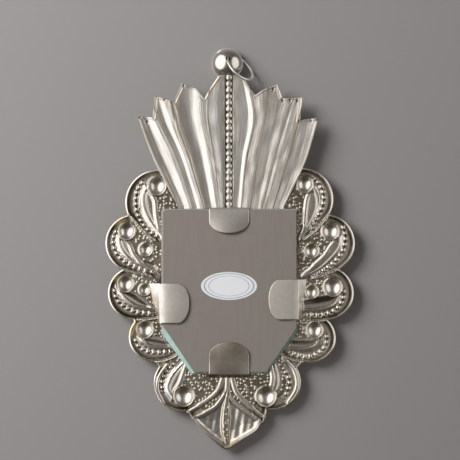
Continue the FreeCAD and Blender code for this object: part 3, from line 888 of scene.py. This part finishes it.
def bead_column(x, z):
    """The straight row of beads down the middle, and the strip that it stands on."""
    strip = 1 - ramp(np.abs(x), 0.9 * plume_bead_radius, 1.25 * plume_bead_radius)
    phase = (z / plume_bead_pitch) % 1 - 0.5
    distance = np.hypot(x, phase * plume_bead_pitch)
    return half_round(distance, plume_bead_radius) * plume_bead_height, strip


print(len(fold_shares), "folds and", len(cup_shares), "cups")

# %% Two halves of the plume
strip_depth = 1.5 * mm
plume_lift = 2.2 * mm
rolled_rise = 0.3 * mm
rolled_drop = 0.6 * mm
rolled_rise_width = (0.8 * mm, 1.6 * mm)
rolled_drop_width = (0, 1.0 * mm)
rolled_stain = (1.1 * mm, 1.4 * mm, 1.6 * mm, 2.3 * mm)
strip_stain = (2.2 * mm, 2.6 * mm, 3.2 * mm, 6 * mm)
bead_stain = (0.5 * mm, 1.0 * mm)


def tongue_edge(xz, index, share, width):
    """How far each point is from the edge of the tongues, or of the two outer flutes."""
    edge = measure(xz, tongue_loop)[0]
    edge = np.where(index == 0, np.minimum(edge, share * width), edge)
    return np.where(index == flute_count - 1, np.minimum(edge, (1 - share) * width), edge)


def plume_patina_and_shade(x, index, share, edge, bead, strip, fold_shade):
    """Patina between and beside the beads and along the rims, a dark line on the right of each ridge,
    painted shade on the right of the folds and on the left flanks of the three left flutes, and an even
    darkening of the right-hand flutes.
    """
    line_mark = stripe(share, 0, 0.02, 0.05, 0.10) * (index != 4) * (index != 0)
    # Painted shade on the left flanks of the three left flutes, and an even darkening of the right-hand
    # flutes.
    darkening = (index < 3) * (1 - ramp(share, 0.25, 0.5)) + (index > 4) * 0.5
    beside = stripe(np.abs(x), *strip_stain)
    marks = [
        strip * (1 - ramp(bead, *bead_stain)), 0.55 * line_mark, 0.6 * fold_shade,
        0.28 * beside + 0.20 * darkening, 0.3 * stripe(edge, *rolled_stain),
    ]
    return np.max(marks, axis=0)


def plume_half(first, last):
    """Places the points of the flutes from first to last."""

    def place(u, v):
        flute = first + (last - first) * u
        column, back = np.unique(np.round(flute, 6), return_inverse=True)
        z = plume_foot + (column_tops(column)[back] - plume_foot) * v
        x = flute_across(flute, z)
        xz = np.stack([x, z], 1)
        share = flute - np.floor(flute)
        share = np.where((flute > first) & (share == 0), 1, share)
        index = np.clip(np.floor(flute - 1e-9).astype(int), 0, flute_count - 1)
        width = np.abs(flute_across(index.astype(float), z) - flute_across(index + 1.0, z))
        edge = tongue_edge(xz, index, share, width)
        fold, fold_shade = folds(xz)
        bead, strip = bead_column(x, z)
        height = flute_relief(index, share, width, z) + fold
        height += rolled_rise * (1 - ramp(edge, *rolled_rise_width))
        height -= rolled_drop * (1 - ramp(edge, *rolled_drop_width))
        height = height * (1 - strip) - strip * strip_depth + bead
        cup = cups(xz)
        y = back_y + plume_lift + height - cup_depth * cup.sum(0)
        patina = plume_patina_and_shade(x, index, share, edge, bead, strip, fold_shade)
        patina = np.maximum(patina, 0.75 * cup.max(0))
        worn = brass(xz, plume_brass_shares, plume_scale, edge)
        attributes = {"patina": patina, "brass": worn, "across": flute * 10, "along": z / mm}
        return np.stack([x, y, z], 1), attributes

    return place


plume_pieces = [
    bent_grid("plume_left", 330, 140, plume_half(0, 4), sheet_thickness),
    bent_grid("plume_right", 345, 138, plume_half(4, flute_count), sheet_thickness),
]

# %% [markdown]
# ## The clips
#
# Each clip is a strip of the same plate, folded over the edge of glass and card. It could be a
# plate with bevelled corners. But its leaf ends in half an oval, bows a little and lifts off the
# card at its end, so the lamps run across it in a soft gradient. So a grid follows the strip by
# the angle that it has turned: level on the leaf, down the riser, and level again on the foot.

# %% Folded clips
clip_thickness = 0.5 * mm
clip_width = clip_high.x - clip_low.x
clip_bend = 1.1 * mm
clip_clearance = 0.2 * mm
clip_foot = 4.5 * mm
clip_sink = 1.0 * mm
clip_edge = 0.45 * mm
clip_edge_drop = 0.25 * mm
clip_shoulder_width = 2.2 * mm
clip_rise = -back_y
# Shares of the grid's rows where leaf, bend, riser and second bend end.
clip_row_shares = (0.0, 0.52, 0.68, 0.78, 0.92, 1.0)


def folded_clip(seat, inward, leaf, end_length, leans, has_foot, bow, hump, lift, shoulder, darkening):
    """Places for one clip: seat is the glass edge at its middle, inward points over the card.

    leans say how far the riser's base stands out at the strip's two sides. bow, hump and lift
    raise the leaf's middle line, the middle of its length and its end; shoulder raises all of
    the leaf but the rounded part beside the fold. A clip without a foot stands on the sheet.
    """
    side = np.array((-inward[1], inward[0]))
    sink = 0 if has_foot else clip_sink

    def place(u, v):
        s = -np.cos(u * math.pi)
        q = [np.clip((v - a) / (b - a), 0, 1) for a, b in zip(clip_row_shares, clip_row_shares[1:])]
        on_leaf = q[1] == 0
        lean = leans[0] + (leans[1] - leans[0]) * (s + 1) / 2
        turn = np.arctan2(clip_rise, lean)
        tangent = clip_bend * np.tan(turn / 2)
        second_tangent = clip_bend / np.tan(turn / 2) * has_foot
        fold = tangent - clip_thickness
        reach = leaf - end_length * (1 - np.sqrt(np.clip(1 - np.abs(s) ** 2.2, 0, 1)))
        level = (reach - fold) * (1 - np.cos(q[0] * math.pi / 2))
        riser = np.hypot(lean, clip_rise) - tangent - second_tangent + sink
        angle = turn * q[1] + (math.pi - turn) * q[3] * has_foot
        over = reach - level - clip_bend * np.sin(angle) - riser * q[2] * np.cos(turn)
        over += (clip_foot - second_tangent) * q[4] * has_foot
        share = np.clip((reach - level - fold) / (leaf - fold), 0, 1) * on_leaf
        y = clip_bend * (np.cos(angle) - 1) - riser * q[2] * np.sin(turn)
        y += (bow * (1 - s**2) + lift) * share + hump * 4 * share * (1 - share)
        y += shoulder * (1 - np.exp(-share * (leaf - fold) / clip_shoulder_width))
        to_end = level / np.sqrt(1 + (2 * np.abs(s) * end_length / clip_width) ** 2)
        to_side = (1 - np.abs(s)) * clip_width / 2
        near = np.clip(1 - np.minimum(to_end, to_side) / clip_edge, 0, 1) ** 2
        y -= clip_edge_drop * near * on_leaf
        across, along = np.outer(s * clip_width / 2, side), np.outer(over - clip_clearance, inward)
        x, z = (np.array(seat) + along + across).T
        # Less patina at the leaf's sides near the fold; painted shade on all of the strip past the leaf,
        # and a band of painted shade along the strip's edges.
        clean = ramp(np.abs(s), 0.3, 0.9) * (1 - ramp(share, 0.1, 0.6)) * on_leaf
        darkened = darkening * (1.2 - clean + 0.5 * ramp(v, clip_row_shares[1], clip_row_shares[2]))
        return np.stack([x, y, z], 1), {"patina": darkened + 0.4 * near, "brass": 0 * s}

    return place


print("the clips rise", round(clip_rise / mm, 1), "mm over the sheet")

# %% The four clips
clip_columns = 44
clip_rows = 64
side_clip_heights = {"left": -59.6 * mm, "right": -56.8 * mm}
clip_forms = {
    "clip_top": dict(
        seat=(0, glass_high.z), inward=(0, -1), leaf=17.5 * mm, end_length=8.9 * mm, bow=1.3 * mm,
        hump=0.2 * mm, lift=0.3 * mm, shoulder=0, leans=(0.8 * mm, 0.8 * mm), has_foot=1, darkening=0.05,
    ),
    "clip_bottom": dict(
        seat=(0, glass_low.z), inward=(0, 1), leaf=22.8 * mm, end_length=9.7 * mm, bow=0.6 * mm,
        hump=0.7 * mm, lift=0.2 * mm, shoulder=0, leans=(2.6 * mm, 2.6 * mm), has_foot=1, darkening=0.32,
    ),
    "clip_left": dict(
        seat=(glass_high.x, side_clip_heights["left"]), inward=(-1, 0), leaf=20.4 * mm,
        end_length=8.5 * mm, bow=0.3 * mm, hump=0.2 * mm, lift=0.5 * mm, shoulder=0.4 * mm,
        leans=(7.4 * mm, 1.2 * mm), has_foot=0, darkening=0.05,
    ),
    "clip_right": dict(
        seat=(glass_low.x, side_clip_heights["right"]), inward=(1, 0), leaf=20.7 * mm,
        end_length=8.2 * mm, bow=0.3 * mm, hump=0.25 * mm, lift=0.5 * mm, shoulder=0.6 * mm,
        leans=(1.6 * mm, 5.6 * mm), has_foot=0, darkening=0,
    ),
}
clip_pieces = {}
for name, form in clip_forms.items():
    clip_pieces[name] = bent_grid(
        "folded_" + name, clip_columns, clip_rows, folded_clip(**form), clip_thickness
    )

# %% [markdown]
# ## Glass and card
#
# Both were cut by hand, so their corners aren't quite alike on the two sides, and a cube with
# cut corners would be too even. The corners are read off the picture, the pane starts as a
# circle of eight corners that are moved there, and an extrude and a small bevel make it a plate.

# %% Panes cut by hand
pixel = 0.714 * mm
origin_pixel = (229, 220)
glass_corner_pixels = [
    (163.0, 208.9), (296.5, 208.9), (297.2, 209.8), (297.2, 331.8), (267.2, 373.4), (191.3, 373.6),
    (161.5, 333.7), (161.3, 210.2),
]
card_corner_pixels = [
    (166.0, 209.7), (294.5, 209.6), (296.5, 211.2), (296.6, 328.2), (266.2, 371.8), (194.0, 372.2),
    (163.1, 326.3), (163.1, 212.5),
]


def cut_pane(name, corner_pixels, front, back, edge):
    """A plate with the given corners between two depths, its edges softened."""
    bm = bmesh.new()
    bmesh.ops.create_circle(bm, cap_ends=True, segments=len(corner_pixels), radius=1)
    ring = sorted(bm.verts, key=lambda v: math.atan2(v.co.y, v.co.x))
    corners = [((origin_pixel[0] - px) * pixel, (origin_pixel[1] - py) * pixel) for px, py in corner_pixels]
    middle = np.mean(corners, axis=0)
    corners.sort(key=lambda c: math.atan2(c[1] - middle[1], c[0] - middle[0]))
    for v, (x, z) in zip(ring, corners):
        v.co = (x, front, z)
    grown = bmesh.ops.extrude_face_region(bm, geom=bm.faces[:])["geom"]
    far_side = [g for g in grown if isinstance(g, bmesh.types.BMVert)]
    bmesh.ops.translate(bm, verts=far_side, vec=(0, back - front, 0))
    bmesh.ops.recalc_face_normals(bm, faces=bm.faces[:])
    bmesh.ops.bevel(
        bm, geom=bm.edges[:], offset=edge, affect="EDGES", segments=2, profile=0.5, material=-1
    )
    return finish_piece(name, bm)


glass_pane = cut_pane("glass_pane", glass_corner_pixels, glass_low.y, glass_high.y, 0.15 * mm)
card_board = cut_pane("card_board", card_corner_pixels, card_low.y, card_high.y, 0.12 * mm)

# %% [markdown]
# ## Finishes
#
# Every finish is a small tree of nodes. They could be placed one by one, but the same few steps
# come back in each of them, so a small helper holds these: add a node, link it, calculate,
# stretch a range, and turn a value into a colour.


# %% A helper for node trees
class Tree:
    """A node tree with short ways to build it."""

    def __init__(self, tree):
        self.tree = tree
        self.join = tree.links.new

    def node(self, kind, links=None, **values):
        """New node with its values set, fed by the sockets in links."""
        n = self.tree.nodes.new(kind)
        for key, value in values.items():
            if hasattr(n, key):
                setattr(n, key, value)
            else:
                n.inputs[key.replace("_", " ")].default_value = value
        for key, source in (links or {}).items():
            self.join(source, n.inputs[key])
        return n

    def calculate(self, operation, *values):
        """Math node on sockets and plain numbers."""
        n = self.node("ShaderNodeMath", operation=operation)
        for socket, value in zip(n.inputs, values):
            if isinstance(value, (int, float)):
                socket.default_value = value
            else:
                self.join(value, socket)
        return n.outputs[0]

    def stretch(self, source, start, end, low, high):
        """Source, moved from the range start to end to the range low to high."""
        n = self.node("ShaderNodeMapRange", {"Value": source}, From_Min=start, From_Max=end)
        n.inputs["To Min"].default_value = low
        n.inputs["To Max"].default_value = high
        return n.outputs["Result"]

    def noise(self, place, scale, detail, **values):
        """Noise on the piece's own coordinates."""
        n = self.node("ShaderNodeTexNoise", {"Vector": place}, Scale=scale, Detail=detail, **values)
        return n.outputs["Fac"]

    def attribute(self, name):
        """A value that the mesh carries at its points."""
        return self.node("ShaderNodeAttribute", attribute_name=name).outputs["Fac"]

    def place(self):
        """The piece's own coordinates."""
        return self.node("ShaderNodeTexCoord").outputs["Object"]

    def colours(self, source, stops):
        """Colour ramp fed by source, with (place, colour) stops."""
        n = self.node("ShaderNodeValToRGB", {"Fac": source})
        elements = n.color_ramp.elements
        while len(elements) < len(stops):
            elements.new(0.5)
        for element, (place, colour) in zip(elements, stops):
            element.position = place
            element.color = (*colour, 1)
        return n.outputs["Color"]


def material(name, **values):
    """New material, its tree and its shader, with plain values set on the shader."""
    m = bpy.data.materials.new(name)
    m.use_nodes = True
    shader = m.node_tree.nodes["Principled BSDF"]
    for key, value in values.items():
        shader.inputs[key.replace("_", " ")].default_value = value
    return m, Tree(m.node_tree), shader


def add_bump(t, shader, height, strength, distance):
    """Fine bump from one socket."""
    bump = t.node("ShaderNodeBump", {"Height": height}, Strength=strength, Distance=distance)
    t.join(bump.outputs["Normal"], shader.inputs["Normal"])


# %% [markdown]
# ## Silver plate
#
# Silver plate is a bright metal whose hollows have gone brown. A dark noise alone would put the
# brown anywhere. The patina that was worked out with the relief, with painted shade added in some
# places, decides where it lies, and a fine noise keeps the shine from being even. At the rims the
# plating has worn to brass.

# %% Silver plate
grain_depth = 0.2 * mm
brown_stops = [(0.45, (0.42, 0.36, 0.275)), (1.0, (0.08, 0.065, 0.043))]
brass_colour = (0.80, 0.67, 0.46, 1)


def streaks_along_flutes(t):
    """Noise that is drawn out along the plume's flutes, as brushing leaves it."""
    slow = t.calculate("MULTIPLY", t.attribute("along"), 0.05)
    run = t.node("ShaderNodeCombineXYZ", {"X": t.attribute("across"), "Y": slow}).outputs[0]
    return t.noise(run, 1.0, 5.0, Roughness=0.6)


def silver_plate(name, silver, roughness, brushed, mottling):
    """Silver plate with patina, painted shade and worn places; brushed runs its streaks along the flutes.
    """
    m, t, shader = material(name, Metallic=1)
    place = t.place()
    streaks = streaks_along_flutes(t) if brushed else t.noise(place, 260.0, 6.0)
    clouds = t.noise(place, 45.0, 4.0)
    clouded = t.calculate("MULTIPLY", t.attribute("patina"), clouds)
    mottled = t.stretch(streaks, 0.35, 0.70, 0, mottling)
    stain_and_shade = t.calculate("MULTIPLY_ADD", clouded, 1.7, mottled)
    patchy = t.stretch(clouds, 0.35, 0.6, 0, 1)
    worn = t.calculate("MULTIPLY", t.attribute("brass"), patchy)
    plate = t.colours(stain_and_shade, [(0.0, silver), *brown_stops])
    tinted = t.node("ShaderNodeMix", {0: worn, 6: plate}, data_type="RGBA")
    tinted.inputs[7].default_value = brass_colour
    t.join(tinted.outputs[2], shader.inputs["Base Color"])
    t.join(t.stretch(streaks, 0, 1, roughness - 0.08, roughness + 0.12), shader.inputs["Roughness"])
    add_bump(t, shader, streaks, 1.0 if brushed else 0.12, grain_depth)
    return m


def dress_pieces(pieces, m, node_name):
    """Finish for pieces that stand for one node of the model, and ride where it rides."""
    for piece in pieces:
        piece.data.materials.append(m)
        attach(piece, "mirror_frame")
        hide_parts(node_name)
        print(piece.name, "stands for", node_name)


border_plate = silver_plate("silver_plate_border", (0.82, 0.77, 0.695), 0.27, False, 0.06)
plume_plate = silver_plate("silver_plate_plume", (0.84, 0.81, 0.77), 0.38, True, 0.22)
clip_plate = silver_plate("clip_plate", (0.84, 0.80, 0.74), 0.32, False, 0.13)
satin_plate = silver_plate("clip_plate_satin", (0.87, 0.82, 0.75), 0.46, False, 0.13)
dress_pieces(border_pieces, border_plate, "border_sheet")
dress_pieces(plume_pieces, plume_plate, "flame_plume")
for name, piece in clip_pieces.items():
    dress_pieces([piece], satin_plate if name == "clip_right" else clip_plate, name)

# %% [markdown]
# ## Ball and ring
#
# The ball is two half shells of thin plate, and the ring is a bent wire. Both keep their shapes
# from the model, so they only get a finish: a polished metal with a little grain, the ring's a
# paler one.


# %% Metal of the ball and ring
def plain_metal(name, colour, roughness, grain):
    """Metal with a slight grain in its colour, shine and surface."""
    m, t, shader = material(name, Metallic=1)
    noise = t.noise(t.place(), grain, 5.0)
    dark = tuple(c * 0.9 for c in colour)
    t.join(t.colours(noise, [(0.35, dark), (0.62, colour)]), shader.inputs["Base Color"])
    t.join(t.stretch(noise, 0, 1, roughness - 0.06, roughness + 0.08), shader.inputs["Roughness"])
    add_bump(t, shader, noise, 0.15, grain_depth)
    return m


def dress(node_name, m):
    """Give a node of the model its finish."""
    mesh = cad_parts[node_name].data
    mesh.materials.clear()
    mesh.materials.append(m)
    print(node_name, "has", m.name)


ball_metal = plain_metal("ball_plate", (0.72, 0.67, 0.60), 0.20, 90)
dress("ball_back_shell", ball_metal)
dress("ball_front_shell", ball_metal)
dress("hanging_ring", plain_metal("ring_wire", (0.96, 0.93, 0.87), 0.30, 160))

# %% [markdown]
# ## Card, glass and label
#
# The card is grey board, whose fibres run up and down. The glass is silvered, so its face is a
# mirror, and only its ground edges show sea green. A clear glass over a mirror would cost light
# paths and look the same. The label is blank paper with two thin oval lines.

# %% Grey card
card_stops = [(0.3, (0.226, 0.196, 0.172)), (0.7, (0.242, 0.212, 0.188))]
m, t, shader = material("grey_card", Roughness=0.85)
fibres = t.node("ShaderNodeMapping", {"Vector": t.place()}, Scale=(1, 1, 0.12))
weave = t.noise(fibres.outputs["Vector"], 420.0, 6.0)
t.join(t.colours(weave, card_stops), shader.inputs["Base Color"])
add_bump(t, shader, weave, 0.2, 0.1 * mm)
dress_pieces([card_board], m, "backing_card")

# %% Glass: its ground edges, and its silvered face
sea_green_stops = [(0.3, (0.40, 0.58, 0.54)), (0.7, (0.50, 0.68, 0.63))]
mirror_stops = [(0.3, (0.86, 0.89, 0.88)), (0.7, (0.90, 0.93, 0.92))]
upper_edge_colour = (0.36, 0.35, 0.32, 1)
# The green shows on the sloping lower edges, up to this height above the lowest one.
green_end = 38 * mm
green_full = 28 * mm

glass_edge, t, shader = material("ground_glass_edge", Roughness=0.45)
place = t.place()
green = t.colours(t.noise(place, 300.0, 3.0), sea_green_stops)
up = t.node("ShaderNodeSeparateXYZ", {"Vector": place}).outputs["Z"]
low_part = t.stretch(up, glass_low.z + green_end, glass_low.z + green_full, 0, 1)
painted = t.node("ShaderNodeMix", {0: low_part, 7: green}, data_type="RGBA")
painted.inputs[6].default_value = upper_edge_colour
t.join(painted.outputs[2], shader.inputs["Base Color"])

silvered, t, shader = material("silvered_face", Metallic=1, Roughness=0.02)
t.join(t.colours(t.noise(t.place(), 8.0, 2.0), mirror_stops), shader.inputs["Base Color"])
dress_pieces([glass_pane], glass_edge, "mirror_glass")
glass_pane.data.materials.append(silvered)
for face in glass_pane.data.polygons:
    face.material_index = 1 if face.normal.y < -0.9 else 0

# %% Blank label
white = (0.78, 0.79, 0.81)
grey = (0.36, 0.37, 0.42)
# Colours from the label's middle to its rim: two thin lines on white.
label_stops = ((0.0, white), (0.70, grey), (0.73, white), (0.855, grey), (0.905, white))
m, t, shader = material("blank_label", Roughness=0.6)
label_half = (label_high - label_low) / 2
centred = t.node(
    "ShaderNodeMapping", {"Vector": t.place()}, vector_type="TEXTURE",
    Location=label_low + label_half, Scale=(label_half.x, 1, label_half.z),
)
flat = t.node("ShaderNodeVectorMath", {0: centred.outputs["Vector"]}, operation="MULTIPLY")
flat.inputs[1].default_value = (1, 0, 1)
reach = t.node("ShaderNodeVectorMath", {0: flat.outputs["Vector"]}, operation="LENGTH")
lines = t.node("ShaderNodeValToRGB", {"Fac": reach.outputs["Value"]})
lines.color_ramp.interpolation = "CONSTANT"
for share, colour in label_stops:
    element = lines.color_ramp.elements.new(share)
    element.color = (*colour, 1)
t.join(lines.outputs["Color"], shader.inputs["Base Color"])
dress("back_label", m)

# %% [markdown]
# ## Floor and wall
#
# The mirror hangs on a grey wall, and the floor lies a little below its foot. A modelled room
# would hide the mirror from the other views. So the wall is one plane, seen only by a camera
# behind the mirror, and the floor throws no light of its own on the metal.

# %% Floor and wall
floor_drop = 60 * mm
backdrop_colour = (0.281, 0.267, 0.262, 1)


def backdrop(name, half_size, m):
    """A plane through the origin that isn't part of the object, and that mirrors don't see."""
    bm = bmesh.new()
    bmesh.ops.create_grid(bm, x_segments=2, y_segments=2, size=half_size)
    plane = finish_piece(name, bm)
    plane.data.materials.append(m)
    plane.visible_glossy = False
    plane.visible_shadow = False
    return plane


floor_paint = material("floor_paint", Base_Color=backdrop_colour, Roughness=0.9)[0]
floor = backdrop("floor", 2, floor_paint)
floor.data.transform(Matrix.Translation((0, 0, border_low.z - floor_drop)))

wall_paint, t, shader = material("wall_paint", Base_Color=backdrop_colour, Roughness=0.9)
seen_by = t.node("ShaderNodeLightPath").outputs["Is Camera Ray"]
behind = t.node("ShaderNodeNewGeometry").outputs["Backfacing"]
hidden = t.node("ShaderNodeMath", {0: seen_by, 1: behind}, operation="SUBTRACT", use_clamp=True)
clear = t.node("ShaderNodeBsdfTransparent")
mixed = t.node("ShaderNodeMixShader", {0: hidden.outputs[0], 1: clear.outputs[0], 2: shader.outputs[0]})
t.join(mixed.outputs[0], wall_paint.node_tree.nodes["Material Output"].inputs["Surface"])

wall_at_ball = ball_low.y - 2 * mm
wall_at_foot = border_low.y - 3 * mm
lean = math.atan2(wall_at_foot - wall_at_ball, ball_low.z - border_low.z)
wall = backdrop("wall", 3, wall_paint)
wall.data.transform(Matrix.Rotation(lean - math.pi / 2, 4, "X"))
wall.data.transform(Matrix.Translation((0, wall_at_ball, ball_low.z)))

# %% [markdown]
# ## The room that the metal reflects
#
# The camera sees a plain grey. Metal reflects a room instead, which is darker underfoot, behind
# the camera and on the right of the picture, as in a real studio. Matt surfaces get a dim, even
# fill. An image of a studio could do this, but three ranges of the direction are easier to tune.

# %% World
fill_colour = (0.14, 0.14, 0.14, 1)
# For each direction: where its range starts and ends, and the brightness at both ends.
room_ranges = {"Y": (-0.95, 0.1, 2.1, 0.70), "Z": (-0.75, -0.1, 0.5, 1.0), "X": (-0.7, 0.2, 0.5, 1.0)}

world = bpy.data.worlds.new("studio")
world.use_nodes = True
world.node_tree.nodes.clear()
bpy.context.scene.world = world
t = Tree(world.node_tree)
direction = t.node("ShaderNodeTexCoord").outputs["Generated"]
parts = t.node("ShaderNodeSeparateXYZ", {"Vector": direction})
room_strength = 1.0
for axis, limits in room_ranges.items():
    brightness = t.stretch(parts.outputs[axis], *limits)
    room_strength = t.calculate("MULTIPLY", brightness, room_strength)
seen = t.node("ShaderNodeBackground", Color=backdrop_colour)
fill = t.node("ShaderNodeBackground", Color=fill_colour)
room = t.node("ShaderNodeBackground", {"Strength": room_strength}, Color=backdrop_colour)
path = t.node("ShaderNodeLightPath")
shiny = t.calculate("MAXIMUM", path.outputs["Is Glossy Ray"], path.outputs["Is Transmission Ray"])
lit = t.node("ShaderNodeMixShader", {0: shiny, 1: fill.outputs[0], 2: room.outputs[0]})
by_camera = path.outputs["Is Camera Ray"]
whole = t.node("ShaderNodeMixShader", {0: by_camera, 1: lit.outputs[0], 2: seen.outputs[0]})
t.node("ShaderNodeOutputWorld", {"Surface": whole.outputs[0]})
print("the world has", len(world.node_tree.nodes), "nodes")

# %% [markdown]
# ## Lamps and camera
#
# A big soft box stands on the left of the picture and a smaller one on the right, as the two
# bright spots in the ball show. They only light what shines. The key lamp does the rest, and
# its shadow falls to the lower right. The long lens keeps the border as flat as in the picture.


# %% Lamps
def soft_box(name, azimuth, elevation, distance, width, height, brightness, diffuse=True, glossy=True):
    """Oval lamp that looks at the mirror's middle; azimuth 0 is straight behind it."""
    lamp = bpy.data.lights.new(name, "AREA")
    lamp.shape = "ELLIPSE"
    lamp.size = width
    lamp.size_y = height
    lamp.energy = brightness * math.pi * (math.pi / 4 * width * height)
    o = bpy.data.objects.new(name, lamp)
    a, e = math.radians(azimuth), math.radians(elevation)
    away = Vector((math.sin(a) * math.cos(e), math.cos(a) * math.cos(e), math.sin(e)))
    o.location = Vector((0, 0, window_z / 2)) + away * distance
    o.rotation_euler = (-away).to_track_quat("-Z", "Y").to_euler()
    o.visible_diffuse = diffuse
    o.visible_glossy = glossy
    bpy.context.scene.collection.objects.link(o)
    print(name, round(lamp.energy, 1), "watts")


soft_box("box_left", 56, 13, 1.2, 2.2, 2.6, 1.55, diffuse=False)
soft_box("box_right", -66, 10, 1.2, 1.4, 1.7, 1.05, diffuse=False)
soft_box("front_left", 155, 40, 1.2, 0.3, 0.12, 3.5)
soft_box("front_right", -155, 22, 1.2, 0.7, 1.2, 1.6, glossy=False)
soft_box("key", 52, 28, 1.5, 0.9, 0.9, 15.3, glossy=False)

# %% Camera
picture_pixels = 460
camera_distance = 2.2
sensor_width = 36
# Middle of the picture, counted in its pixels from the origin.
picture_middle_pixels = (-1, -10)
camera_data = bpy.data.cameras.new("camera")
camera_data.sensor_width = sensor_width
camera_data.lens = sensor_width * camera_distance / (picture_pixels * pixel)
camera_data.clip_end = 20
camera = bpy.data.objects.new("camera", camera_data)
camera.location = (picture_middle_pixels[0] * pixel, camera_distance, picture_middle_pixels[1] * pixel)
camera.rotation_euler = (math.pi / 2, 0, math.pi)
bpy.context.scene.collection.objects.link(camera)
bpy.context.scene.camera = camera
bpy.context.scene.view_settings.view_transform = "Standard"
print("lens", round(camera_data.lens), "mm")
